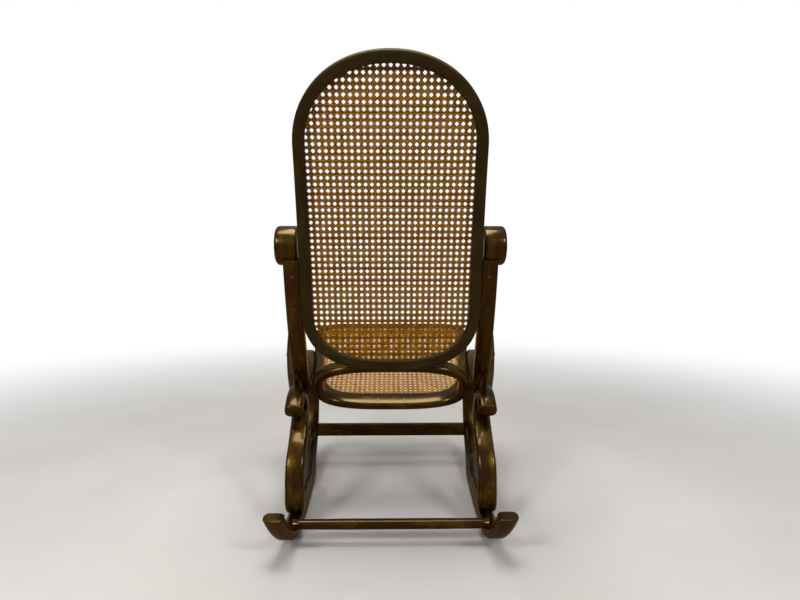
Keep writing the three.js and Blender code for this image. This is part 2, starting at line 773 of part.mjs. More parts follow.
// Oval ring, leaning back from the rear edge of the seat to the front of the back
const ringRun = backFootY - seatRearY;
const ringClimb = backBottom - seatRearTop;
const ringLean = Math.atan2(ringRun, ringClimb) - THREE.MathUtils.degToRad(ringUprightDegrees);
const ringHeight = Math.hypot(ringRun, ringClimb) * ringSpanShare;
const ringWidth = 2 * ringReachShare * sideReach;
const ringY = (backFootY + seatRearY) / 2 - ringForward;
const ringZ = (backBottom + seatRearTop) / 2 + ringRaise;
function ringOutline(inset) {
  const points = [];
  for (let i = 0; i < ringPoints; i += 1) {
    points.push(fullOval((2 * Math.PI * i) / ringPoints, ringWidth / 2 - inset, ringHeight / 2 - inset));
  }
  return points;
}
function onRing(u, v, w) {
  return new THREE.Vector3(
    u,
    ringY + v * Math.sin(ringLean) + w * Math.cos(ringLean),
    ringZ + v * Math.cos(ringLean) - w * Math.sin(ringLean),
  );
}
const ringBare = laidOn(
  hoop(ringOutline(0), ringOutline(ringWall), -ringDepth / 2, ringDepth, ringRound, ringBevelFacets), onRing,
);
const ringFloor = -ringHeight / 2 + ringWall;
const ringSeatScrews = fasteners([-1, 1].map((side) => ({
  place: onRing(side * ringScrewSpacing / 2, ringFloor, 0),
  facing: new THREE.Vector3(0, 1, ringSeatScrewRiseShare),
})), screwHead, screwHeadHeight, screwShank, screwLength);
const ringBackScrews = fasteners([-1, 1].map((side) => ({
  place: onRing(side * ringScrewSpacing, ringHeight / 2 - ringWall / 2, -ringDepth / 2),
  facing: new THREE.Vector3(0, -1, -ringBackScrewRiseShare),
})), screwHead, screwHeadHeight, screwShank, ringDepth + backRimDepth * boltDepthShare);

// Seat frame, its cane and spline
const seatRebate = laidOn(
  plate(seatOutline(seatRimWidth - caneBorder), -rebateDepth, rebateDepth + overrun), onSeat,
);
const seatCaneFrom = -rebateDepth + 2 * clearance;
const seatCane = caneNet(seatOutline(seatRimWidth - caneBorder + clearance), seatOutline(seatRimWidth),
  seatCaneColumns, seatCaneRows, seatCaneFrom, onSeat);
const seatSpline = laidOn(hoop(
  seatOutline(seatRimWidth - caneBorder + 2 * clearance),
  seatOutline(seatRimWidth - caneBorder + 2 * clearance + splineWidth),
  seatCaneFrom + splineFrom, rebateDepth - 2 * clearance - splineFrom, 0,
), onSeat);

const bothSides = (geometries) => [...geometries, ...geometries.map(mirrored)];
const floor = new THREE.BoxGeometry(2 * chairDepth, 2 * chairDepth, 2 * overrun)
  .translate(0, 0, -overrun);

// What is sawn off the end of the lower scroll, so that it ends in a flat face to the rear
const scrollOffcut = new THREE.BoxGeometry(2 * lowerScrollWidth, 2 * lowerScrollRadius, 4 * lowerScrollRadius)
  .translate(0, lowerScrollRadius, 0)
  .rotateX(-THREE.MathUtils.degToRad(scrollFaceTiltDegrees))
  .translate(sideX(lowerScrollY), lowerScrollY + scrollFaceReach, scrollZ);

const runner = cut(runnerStickAt(0), [
  floor, scrollOffcut, ...crossingBolt.rooms, ...seatBolts.rooms, ...loopScrews.rooms, ...stretcherScrews.rooms,
  rodAt(clearance), postDowels[1](clearance),
]);
const armStick = cut(armStickAt(0), [
  runnerRoom, ...crossingBolt.rooms, ...loopScrews.rooms, postDowels[0](clearance),
]);
const post = cut(bentStick(postCurve, () => postWidth, postDepth, 0, postSteps), [
  runnerRoom, armRoom, backRoom, ...postScrews.rooms, ...postDowels.map((dowel) => dowel(clearance)),
]);
const ring = cut(ringBare, [seatRoom, backRoom, ...ringSeatScrews.rooms, ...ringBackScrews.rooms]);
const stretcher = cut(stretcherBar, bothSides([runnerRoom, ...stretcherScrews.rooms]));
const seatFrame = cut(seatFrameAt(0), [
  seatRebate, ...bothSides([runnerRoom, armRoom, ...seatBolts.rooms]), ...ringSeatScrews.rooms,
]);

add("back_frame", cut(backFrame, ringBackScrews.rooms), dustyWalnut);
add("back_cane", backCane, cane);
add("back_spline", backSpline, splineCane);
add("seat_frame", seatFrame, walnut);
add("seat_cane", seatCane, cane);
add("seat_spline", seatSpline, splineCane);
add("oval_ring", ring, walnut);
addPair("runner_stick", runner, walnut);
addPair("arm_stick", armStick, walnut);
addPair("side_post", post, walnut);
add("rear_rod", rodAt(0), walnut);
add("front_stretcher", stretcher, walnut);
addPairs("post_dowel", postDowels.map((dowel) => dowel(0)), walnut);
addPairs("post_screw", postScrews.solids, steel);
addPairs("crossing_bolt", crossingBolt.solids, steel);
addPairs("seat_bolt", seatBolts.solids, steel);
addPairs("loop_screw", loopScrews.solids, steel);
addPairs("stretcher_screw", stretcherScrews.solids, steel);
addEach("ring_seat_screw", ringSeatScrews.solids, steel);
addEach("ring_back_screw", ringBackScrews.solids, steel);

export default chair;
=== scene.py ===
"""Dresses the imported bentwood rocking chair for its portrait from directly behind."""

import logging
import math
from collections.abc import Callable, Sequence
from dataclasses import dataclass, field
from enum import Enum

import bmesh
import bpy
import numpy as np
from mathutils import Matrix, Vector


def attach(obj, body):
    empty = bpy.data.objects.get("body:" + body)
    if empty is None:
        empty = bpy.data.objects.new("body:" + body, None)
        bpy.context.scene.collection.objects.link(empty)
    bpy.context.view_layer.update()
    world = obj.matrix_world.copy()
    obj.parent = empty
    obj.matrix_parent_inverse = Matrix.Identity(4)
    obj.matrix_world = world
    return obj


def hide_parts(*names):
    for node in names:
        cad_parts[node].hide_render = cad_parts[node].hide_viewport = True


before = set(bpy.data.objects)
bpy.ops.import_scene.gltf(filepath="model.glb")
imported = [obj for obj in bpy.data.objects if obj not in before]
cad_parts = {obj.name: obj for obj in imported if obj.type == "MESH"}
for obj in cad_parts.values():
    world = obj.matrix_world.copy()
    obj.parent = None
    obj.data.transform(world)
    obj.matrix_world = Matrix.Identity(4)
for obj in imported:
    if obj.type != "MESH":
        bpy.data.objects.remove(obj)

logging.basicConfig(level=logging.INFO, format="%(levelname)s %(message)s")
LOG = logging.getLogger("rocking_chair")

MM = 0.001
BODY = "root"
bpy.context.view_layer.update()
# Places closer than this, in millimetres, count as the same
TOUCH = 1e-3
# Steps of a line shorter than this, in millimetres, are left out
NO_STEP = 1e-6
# Cosine over which an edge runs, or a face looks, one way
ALIGNED = 0.9

Point = np.ndarray
Surface = Callable[[np.ndarray], np.ndarray]


class Slot(Enum):
    """The record's finishes that a piece can take."""

    WALNUT = "walnut"
    DUSTY_WALNUT = "dusty_walnut"
    CANE = "cane"
    SPLINE = "spline"
    STEEL = "steel"


class Side(Enum):
    """The sitter's two sides, as the sign of X."""

    LEFT = 1
    RIGHT = -1

    @property
    def word(self) -> str:
        """The side's name in piece names."""
        return self.name.lower()


class Figure(Enum):
    """Shift of each kind of piece in the wood's figure, so that no two share theirs."""

    RUNNER = 1.0
    ARM = 4.0
    POST = 7.0
    BACK_RIM = 11.0
    BACK_REED = 12.0
    SEAT_RIM = 14.0
    SEAT_REED = 15.0
    RING = 17.0
    ROD = 19.0
    STRETCHER = 21.0


class Parts(Enum):
    """What a selection in edit mode takes."""

    EDGES = "edges"
    FACES = "faces"


# Curves of the bent wood


@dataclass(frozen=True)
class Bend:
    """A bent line in space, in millimetres, as many points with the length up to each."""

    points: Point
    reached: Point

    @classmethod
    def through(cls, points: Sequence[Point] | Point) -> "Bend":
        """Measures a line of points.

        Args:
            points: places in millimetres, in order.

        Returns:
            The line with its running length.
        """
        line = np.asarray(points, float)
        line = line[np.r_[True, np.linalg.norm(np.diff(line, axis=0), axis=1) > NO_STEP]]
        steps = np.linalg.norm(np.diff(line, axis=0), axis=1)
        return cls(line, np.r_[0.0, np.cumsum(steps)])

    @property
    def length(self) -> float:
        """The whole length in millimetres."""
        return float(self.reached[-1])

    def place(self, along: Point) -> Point:
        """Places along the line, carried on straight past its ends.

        Args:
            along: lengths from its start.

        Returns:
            A row for each length.
        """
        inner = np.clip(along, 0.0, self.length)
        places = np.stack([np.interp(inner, self.reached, column) for column in self.points.T], axis=-1)
        first = self.points[1] - self.points[0]
        last = self.points[-1] - self.points[-2]
        past = np.asarray(along, float) - inner
        ends = np.where((past < 0)[..., None], first / np.linalg.norm(first), last / np.linalg.norm(last))
        return places + ends * past[..., None]

    def heading(self, along: Point, reach: float = 3.0) -> Point:
        """Unit directions along the line.

        Args:
            along: lengths from its start.
            reach: how far ahead and behind each direction is measured.

        Returns:
            A row for each length.
        """
        inner = np.clip(along, 0.0, self.length)
        turn = self.place(np.minimum(inner + reach, self.length)) - self.place(np.maximum(inner - reach, 0.0))
        return turn / np.linalg.norm(turn, axis=-1, keepdims=True)


def arc(y: float, z: float, radius: float, start: float, end: float, count: int = 40) -> Point:
    """Points of an arc in the side view, with angles in degrees from +Y towards +Z."""
    turn = np.radians(np.linspace(start, end, count))
    return np.stack([y + radius * np.cos(turn), z + radius * np.sin(turn)], axis=1)


def bezier(corners: Sequence[Sequence[float] | Point], count: int = 40) -> Point:
    """Points of a Bezier curve.

    Args:
        corners: its control corners.
        count: how many points.

    Returns:
        A row for each point.
    """
    t = np.linspace(0.0, 1.0, count)[:, None]
    points = [np.asarray(corner, float)[None, :] * np.ones_like(t) for corner in corners]
    while len(points) > 1:
        points = [a * (1 - t) + b * t for a, b in zip(points, points[1:])]
    return points[0]


def cubic(p1: Point, p2: Point, v1: Point, v2: Point, w: float) -> Point:
    """The place at share w of the way from p1 to p2, on a cubic with speeds v1 and v2 at its ends."""
    return (2 * p1 - 2 * p2 + v1 + v2) * w**3 + (-3 * p1 + 3 * p2 - 2 * v1 - v2) * w**2 + v1 * w + p1


def even_spline(knots: Point, count: int = 400) -> Point:
    """Points of a uniform Catmull-Rom spline, with its end knots doubled.

    Args:
        knots: the places that it passes through.
        count: how many points.

    Returns:
        A row for each point.
    """
    spans = len(knots) - 1
    points = []
    for share in np.linspace(0.0, 1.0, count) * spans:
        i = min(int(share), spans - 1)
        p0, p1 = knots[max(i - 1, 0)], knots[i]
        p2, p3 = knots[i + 1], knots[min(i + 2, spans)]
        points.append(cubic(p1, p2, (p2 - p0) / 2, (p3 - p1) / 2, share - i))
    return np.array(points)


def smooth_spline(knots: Point, per_span: int = 24) -> Point:
    """Points of a centripetal Catmull-Rom spline, as a steamed stick bends.

    Args:
        knots: the places that it passes through.
        per_span: how many points from each knot to the next.

    Returns:
        A row for each point.
    """
    padded = np.vstack([2 * knots[0] - knots[1], knots, 2 * knots[-1] - knots[-2]])
    points = []
    for p0, p1, p2, p3 in zip(padded, padded[1:], padded[2:], padded[3:]):
        d0, d1, d2 = (max(np.linalg.norm(b - a) ** 0.5, 1e-4) for a, b in ((p0, p1), (p1, p2), (p2, p3)))
        v1 = ((p1 - p0) / d0 - (p2 - p0) / (d0 + d1) + (p2 - p1) / d1) * d1
        v2 = ((p2 - p1) / d1 - (p3 - p1) / (d1 + d2) + (p3 - p2) / d2) * d1
        points += [cubic(p1, p2, v1, v2, w) for w in np.linspace(0.0, 1.0, per_span, endpoint=False)]
    return np.array([*points, knots[-1]])


def eased(share: Point, start: float, end: float) -> Point:
    """A smooth step from 0 to 1 between two shares."""
    t = np.clip((np.asarray(share, float) - start) / (end - start), 0.0, 1.0)
    return t * t * (3 - 2 * t)


def full_oval(angle: Point, half_width: float, reach: float, fullness: float) -> Point:
    """Points of an oval that is fuller than an ellipse.

    Args:
        angle: where on it, in radians.
        half_width: half its size across.
        reach: half its size up.
        fullness: 2 for an ellipse, and more for a squarer oval.

    Returns:
        A row for each angle.
    """
    power = 2 / fullness
    across, up = (np.sign(v) * np.abs(v) ** power for v in (np.cos(angle), np.sin(angle)))
    return np.stack([half_width * across, reach * up], axis=-1)


# The chair's layout


@dataclass(frozen=True)
class Layout:
    """Sizes that the side frames, back, seat and ring share, in millimetres."""

    depth: float = 790.0
    side_reach: float = 290.0
    stick: float = 27.0
    rocker_radius: float = 1261.0
    rear_radius: float = 2100.0
    rest_y: float = -37.0
    rest_depth: float = 1.0
    curl_radius: float = 165.0
    arm_top: float = 724.0
    arm_scroll_radius: float = 31.5
    arm_scroll_y: float = 178.0
    post_reach_share: float = 0.774
    seat_rear_y: float = 37.0
    seat_front_y: float = -386.0
    seat_rear_top: float = 287.7
    seat_slope_degrees: float = 18.8
    back_foot_y: float = 158.0
    back_top: float = 1047.0
    back_bottom: float = 382.0
    plan_depth_shares: tuple[float, ...] = (0.893, 0.72, 0.572, 0.253, -0.163, -0.377, -0.557, -0.754, -1.0)
    plan_reach_shares: tuple[float, ...] = (0.846, 0.807, 0.79, 0.802, 0.821, 0.829, 0.855, 0.878, 0.886)

    @property
    def half(self) -> float:
        """Half the thickness of a stick."""
        return self.stick / 2

    @property
    def front_middle(self) -> float:
        """Radius of the rocker's middle line in front of where it rests."""
        return self.rocker_radius - self.half

    @property
    def front_centre(self) -> float:
        """Height of the centre of the rocker's front arc."""
        return self.rocker_radius - self.rest_depth

    @property
    def rear_middle(self) -> float:
        """Radius of the rocker's middle line behind where it rests, which is flatter."""
        return self.rear_radius - self.half

    @property
    def rear_centre(self) -> float:
        """Height of the centre of the rocker's rear arc."""
        return self.rear_radius - self.rest_depth

    @property
    def post_x(self) -> float:
        """Distance of a post from the middle of the chair."""
        return self.post_reach_share * self.side_reach

    @property
    def arm_scroll_z(self) -> float:
        """Height of the middle of the arm's scroll."""
        return self.arm_top - self.half - self.arm_scroll_radius

    def side_x(self, y: Point) -> Point:
        """How far the side frames stand from the middle at these places along the chair."""
        line = even_spline(np.stack([np.array(self.plan_depth_shares) * self.depth / 2,
                                     np.array(self.plan_reach_shares) * self.side_reach], axis=1))
        return np.interp(np.asarray(y, float), line[::-1, 0], line[::-1, 1])


# Modelling helpers


def nothing_selected() -> None:
    """Leaves edit mode and deselects everything, the CAD nodes too."""
    if bpy.context.mode != "OBJECT":
        bpy.ops.object.mode_set(mode="OBJECT")
    bpy.ops.object.select_all(action="DESELECT")


def edit_all(piece: bpy.types.Object) -> None:
    """Opens one object in edit mode with all of it selected.

    Args:
        piece: the object.
    """
    nothing_selected()
    piece.select_set(True)
    bpy.context.view_layer.objects.active = piece
    bpy.ops.object.mode_set(mode="EDIT")
    bpy.ops.mesh.select_all(action="SELECT")


def new_block(name: str, size: Sequence[float], middle: Sequence[float]) -> bpy.types.Object:
    """A plain block, from which a bar is made.

    Args:
        name: the piece's name.
        size: its size along X, Y and Z.
        middle: the place of its middle.

    Returns:
        The block, in edit mode with all of it selected.
    """
    nothing_selected()
    bpy.ops.mesh.primitive_cube_add(size=1.0, location=(0, 0, 0))
    block = bpy.context.object
    block.name = block.data.name = name
    edit_all(block)
    bpy.ops.transform.resize(value=size)
    bpy.ops.transform.translate(value=middle)
    return block


def pick(piece: bpy.types.Object, wanted: Callable[[bmesh.types.BMEdge | bmesh.types.BMFace], bool],
         kind: Parts = Parts.EDGES) -> None:
    """Selects edges or faces in edit mode by a test of their place.

    Args:
        piece: the object in edit mode.
        wanted: the test.
        kind: what is tested.
    """
    bpy.ops.mesh.select_mode(type="FACE" if kind is Parts.FACES else "EDGE")
    bpy.ops.mesh.select_all(action="DESELECT")
    mesh = bmesh.from_edit_mesh(piece.data)
    for part in getattr(mesh, kind.value):
        if wanted(part):
            part.select = True
    mesh.select_flush_mode()
    bmesh.update_edit_mesh(piece.data)


def runs_along(edge: bmesh.types.BMEdge) -> bool:
    """Whether an edge of a straight bar runs along its length, which is Z."""
    a, b = (v.co for v in edge.verts)
    return abs(a.z - b.z) > ALIGNED * (a - b).length


def round_edges(radius: float, facets: int) -> None:
    """Rounds the selected edges."""
    bpy.ops.mesh.bevel(offset=radius, segments=facets, profile=0.5, affect="EDGES")


def coordinates(piece: bpy.types.Object) -> Point:
    """The places of a mesh's points.

    Args:
        piece: the object.

    Returns:
        A row for each point.
    """
    places = np.empty(len(piece.data.vertices) * 3)
    piece.data.vertices.foreach_get("co", places)
    return places.reshape(-1, 3)


def set_coordinates(piece: bpy.types.Object, places: Point) -> None:
    """Moves a mesh's points to these places."""
    piece.data.vertices.foreach_set("co", np.asarray(places, float).ravel())
    piece.data.update()


def keep_grain(bar: bpy.types.Object, shift: float) -> None:
    """Stores the places of a bar's points while it is straight, so that its grain follows the bend.

    Args:
        bar: the bar, in millimetres, with its length along Z.
        shift: moves the figure so that no two pieces share it.
    """
    grain = bar.data.attributes.new("grain", "FLOAT_VECTOR", "POINT")
    apart = np.array([0.37, 0.11, 0.53]) * shift
    grain.data.foreach_set("vector", (coordinates(bar) * MM + apart).ravel())


def straight_bar(name: str, width: float, depth: float, length: float, edge: float, end: float,
                 cuts: int) -> bpy.types.Object:
    """A planed bar with rounded edges, ready to be bent, in millimetres.

    Args:
        name: the piece's name.
        width: its size along X.
        depth: its size along Y.
        length: its size along Z, from 0.
        edge: radius of its long edges.
        end: radius of the edges of its ends, or 0 where they are hidden or sawn later.
        cuts: how many cuts across it, so that it bends smoothly.

    Returns:
        The bar as a mesh object.
    """
    bar = new_block(name, (width, depth, length), (0, 0, length / 2))
    pick(bar, runs_along)
    round_edges(edge, facets=6)
    if end > 0:
        pick(bar, lambda e: not runs_along(e)
             and min(abs(e.verts[0].co.z), abs(e.verts[0].co.z - length)) < TOUCH)
        round_edges(end, facets=3)
    divide_along(bar, length, cuts)
    bpy.ops.object.mode_set(mode="OBJECT")
    return bar


def divide_along(bar: bpy.types.Object, length: float, cuts: int) -> None:
    """Cuts a bar's long edges in two goes, so that each stays under what the operator takes.

    Args:
        bar: the bar in edit mode.
        length: its length.
        cuts: about how many cuts.
    """
    first = max(int(math.sqrt(cuts)), 1)
    second = max(round((cuts - first) / (first + 1)), 1)
    for count, least in ((first, 0.5), (second, 0.5 / (first + 1))):
        pick(bar, lambda e, least=least: runs_along(e) and e.calc_length() > least * length)
        bpy.ops.mesh.subdivide(number_cuts=count)


def bend_bar(bar: bpy.types.Object, line: Bend, widen: Callable[[Point], Point] = np.ones_like) -> None:
    """Bends a straight bar along a line: its X stays across the chair, its Y faces outwards.

    Args:
        bar: the bar, in millimetres along Z from 0 to the line's length.
        line: its middle line in the chair.
        widen: factor of the width by the share of the length.
    """
    straight = coordinates(bar)
    along = straight[:, 2]
    tangent = line.heading(along)
    across = np.array([1.0, 0.0, 0.0]) - tangent * tangent[:, :1]
    across /= np.linalg.norm(across, axis=1, keepdims=True)
    outward = np.cross(across, tangent)
    sideways = straight[:, 0] * widen(along / line.length)
    set_coordinates(bar, line.place(along) + across * sideways[:, None] - outward * straight[:, 1:2])


def saw_off(piece: bpy.types.Object, near: Callable[[Vector], bool], point: Sequence[float],
            normal: Sequence[float], edge: float) -> None:
    """Saws an end off flat and eases the edge that the saw leaves.

    Args:
        piece: the bent piece, in millimetres.
        near: tells whether a place belongs to the end that is sawn.
        point: a point of the cut.
        normal: the way the sawn face looks.
        edge: radius of its edge.
    """
    facing, flat, on_cut = Vector(normal).normalized(), 0.999, 0.05
    edit_all(piece)
    pick(piece, lambda f: near(f.calc_center_median()), Parts.FACES)
    bpy.ops.mesh.bisect(plane_co=point, plane_no=facing, use_fill=True, clear_outer=True)
    pick(piece, lambda e: len(e.link_faces) == 2 and near(e.verts[0].co)
         and max(f.normal.dot(facing) for f in e.link_faces) > flat
         and all(abs((v.co - Vector(point)).dot(facing)) < on_cut for v in e.verts))
    round_edges(edge, facets=3)
    bpy.ops.object.mode_set(mode="OBJECT")


def finished(piece: bpy.types.Object, node: str, material: bpy.types.Material,
             crisp: float = 35.0, mirror: bool = False) -> bpy.types.Object:
    """Closes a piece's mesh, brings it to metres and fastens it to the frame.

    Args:
        piece: the piece, in millimetres in the chair's frame.
        node: the CAD node that it stands for.
        material: its material.
        crisp: edges sharper than this many degrees stay crisp.
        mirror: whether it goes to the sitter's right instead.

    Returns:
        The same piece.
    """
    set_coordinates(piece, coordinates(piece) * MM * [-1 if mirror else 1, 1, 1])
    edit_all(piece)
    bpy.ops.mesh.remove_doubles(threshold=TOUCH * MM)
    bpy.ops.mesh.normals_make_consistent(inside=False)
    bpy.ops.object.mode_set(mode="OBJECT")
    bpy.ops.object.shade_smooth_by_angle(angle=math.radians(crisp))
    piece.data.materials.clear()
    piece.data.materials.append(material)
    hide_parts(node)
    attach(piece, BODY)
    LOG.info("%s stands for %s: %d faces", piece.name, node, len(piece.data.polygons))
    return piece


def copy_of(piece: bpy.types.Object, name: str) -> bpy.types.Object:
    """A second object with its own copy of the mesh.

    Args:
        piece: the object to copy.
        name: the copy's name.

    Returns:
        The copy.
    """
    twin = piece.copy()
    twin.data = piece.data.copy()
    twin.name = twin.data.name = name
    bpy.context.collection.objects.link(twin)
    return twin


# Finishes


def linear(hex_colour: str) -> tuple[float, float, float, float]:
    """An sRGB hex colour as linear light.

    Args:
        hex_colour: such as "#3a2210".

    Returns:
        Red, green, blue and alpha.
    """
    values = [int(hex_colour[i:i + 2], 16) / 255 for i in (1, 3, 5)]
    return (*[v / 12.92 if v <= 0.04045 else ((v + 0.055) / 1.055) ** 2.4 for v in values], 1.0)


def add_node(tree: bpy.types.NodeTree, kind: str, links: dict[str | int, object] | None = None,
             stops: Sequence[tuple[float, str]] = (), **settings: object) -> bpy.types.Node:
    """Adds a shader node with its settings, values and links.

    Args:
        tree: the material's node tree.
        kind: the node's type.
        links: by socket name or number, an output socket to link or a value to set.
        stops: places and hex colours, where the node has a colour ramp.
        settings: attributes of the node.

    Returns:
        The node.
    """
    node = tree.nodes.new(kind)
    for key, value in settings.items():
        setattr(node, key, value)
    for key, value in (links or {}).items():
        if isinstance(value, bpy.types.NodeSocket):
            tree.links.new(value, node.inputs[key])
        else:
            node.inputs[key].default_value = value
    if stops:
        elements = node.color_ramp.elements
        while len(elements) < len(stops):
            elements.new(0.5)
        for element, (place, colour) in zip(elements, stops):
            element.position, element.color = place, linear(colour)
    return node


def new_material(name: str) -> tuple[bpy.types.Material, bpy.types.NodeTree, bpy.types.Node]:
    """A new material.

    Args:
        name: its name.

    Returns:
        The material, its node tree and its surface shader.
    """
    material = bpy.data.materials.new(name)
    material.use_nodes = True
    return material, material.node_tree, material.node_tree.nodes["Principled BSDF"]


@dataclass(frozen=True)
class VarnishedBentwood:
    """Steam-bent beech, stained walnut brown and spirit varnished: glossy over dark streaks.

    The figure runs along each stick. Streaks are about 3 mm wide. Pores are drawn 0.7 mm wide, coarser
    than they are, so that they show. In patches 40 mm and more across the colour turns olive gold: partly
    varnish worn thin, partly a painted golden sheen that stands in for reflections. Where dust is given, a
    film of it dulls the varnish, thicker on what faces up.
    """

    name: str = "varnished_bentwood"
    dark: str = "#0e0602"
    middle: str = "#1f1004"
    light: str = "#3a2307"
    worn: str = "#5c4a0c"
    sheen_tint: str = "#efb53a"
    specular: float = 0.8
    streak_mm: float = 3.2
    pore_mm: float = 0.7
    patch_mm: float = 42.0
    stretch: float = 22.0
    patch_stretch: float = 1.8
    streak_stops: tuple[float, float, float] = (0.3, 0.52, 0.74)
    worn_range: tuple[float, float] = (0.48, 0.72)
    worn_amount: float = 0.6
    pore_range: tuple[float, float] = (0.58, 0.68)
    pore_amount: float = 0.55
    roughness: float = 0.17
    roughness_spread: float = 0.16
    roughness_range: tuple[float, float] = (0.3, 0.8)
    coat: float = 0.3
    coat_roughness: float = 0.06
    bump_mm: float = 0.05
    dust: str | None = None
    dust_amount: float = 0.0
    thin_dust_share: float = 0.5
    dust_range: tuple[float, float] = (0.3, 0.75)
    upward_range: tuple[float, float] = (0.25, 0.85)
    upward_dust: float = 0.55

    def build(self) -> bpy.types.Material:
        """Builds the material.

        Returns:
            The material.
        """
        material, tree, surface = new_material(self.name)
        grain = add_node(tree, "ShaderNodeAttribute", attribute_name="grain", attribute_type="GEOMETRY")
        noises = []
        for size, stretch in ((self.streak_mm, self.stretch), (self.pore_mm, self.stretch),
                              (self.patch_mm, self.patch_stretch)):
            per_metre = 1.0 / (size * MM)
            mapped = add_node(tree, "ShaderNodeMapping", {
                "Vector": grain.outputs["Vector"], "Scale": (per_metre, per_metre, per_metre / stretch)})
            noise = add_node(tree, "ShaderNodeTexNoise", {
                "Vector": mapped.outputs["Vector"], "Scale": 1.0, "Detail": 4.0, "Roughness": 0.6})
            noises.append(noise.outputs["Fac"])
        streak, pore, patch = noises
        base = add_node(tree, "ShaderNodeValToRGB", {0: streak},
                        tuple(zip(self.streak_stops, (self.dark, self.middle, self.light))))
        # Olive-gold patches: partly varnish worn thin, partly painted golden sheen in place of reflections.
        worn = add_node(tree, "ShaderNodeMapRange", {
            "Value": patch, "From Min": self.worn_range[0], "From Max": self.worn_range[1],
            "To Min": 0.0, "To Max": self.worn_amount})
        worn_and_sheened = add_node(tree, "ShaderNodeMix", {
            0: worn.outputs["Result"], 6: base.outputs["Color"], 7: linear(self.worn)}, data_type="RGBA")
        open_pores = add_node(tree, "ShaderNodeMapRange", {
            "Value": pore, "From Min": self.pore_range[0], "From Max": self.pore_range[1],
            "To Min": 0.0, "To Max": self.pore_amount})
        colour = add_node(tree, "ShaderNodeMix", {
            0: open_pores.outputs["Result"], 6: worn_and_sheened.outputs[2], 7: linear(self.dark)},
            data_type="RGBA").outputs[2]
        if self.dust:
            colour = self.dusted(tree, colour, patch)
        tree.links.new(colour, surface.inputs["Base Color"])
        rough = add_node(tree, "ShaderNodeMapRange", {
            "Value": patch, "From Min": self.roughness_range[0], "From Max": self.roughness_range[1],
            "To Min": self.roughness, "To Max": self.roughness + self.roughness_spread})
        tree.links.new(rough.outputs["Result"], surface.inputs["Roughness"])
        bump = add_node(tree, "ShaderNodeBump", {
            "Height": streak, "Strength": 0.5, "Distance": self.bump_mm * MM})
        tree.links.new(bump.outputs["Normal"], surface.inputs["Normal"])
        surface.inputs["IOR"].default_value = 1.5
        surface.inputs["Specular IOR Level"].default_value = self.specular
        surface.inputs["Specular Tint"].default_value = linear(self.sheen_tint)
        surface.inputs["Coat Weight"].default_value = self.coat
        surface.inputs["Coat Roughness"].default_value = self.coat_roughness
        surface.inputs["Coat IOR"].default_value = 1.52
        return material

    def dusted(self, tree: bpy.types.NodeTree, colour: bpy.types.NodeSocket,
               patch: bpy.types.NodeSocket) -> bpy.types.NodeSocket:
        """Lays the film of dust over the wood's colour.

        Args:
            tree: the material's node tree.
            colour: the wood's colour.
            patch: the noise that spreads the dust.

        Returns:
            The dusty colour.
        """
        normal = add_node(tree, "ShaderNodeNewGeometry").outputs["Normal"]
        upward = add_node(tree, "ShaderNodeSeparateXYZ", {0: normal}).outputs["Z"]
        settled = add_node(tree, "ShaderNodeMapRange", {
            "Value": upward, "From Min": self.upward_range[0], "From Max": self.upward_range[1],
            "To Min": 0.0, "To Max": self.upward_dust})
        spread = add_node(tree, "ShaderNodeMapRange", {
            "Value": patch, "From Min": self.dust_range[0], "From Max": self.dust_range[1],
            "To Min": self.dust_amount * self.thin_dust_share, "To Max": self.dust_amount})
        film = add_node(tree, "ShaderNodeMath", {
            0: settled.outputs["Result"], 1: spread.outputs["Result"]}, operation="ADD", use_clamp=True)
        return add_node(tree, "ShaderNodeMix", {
            0: film.outputs[0], 6: colour, 7: linear(self.dust)}, data_type="RGBA").outputs[2]


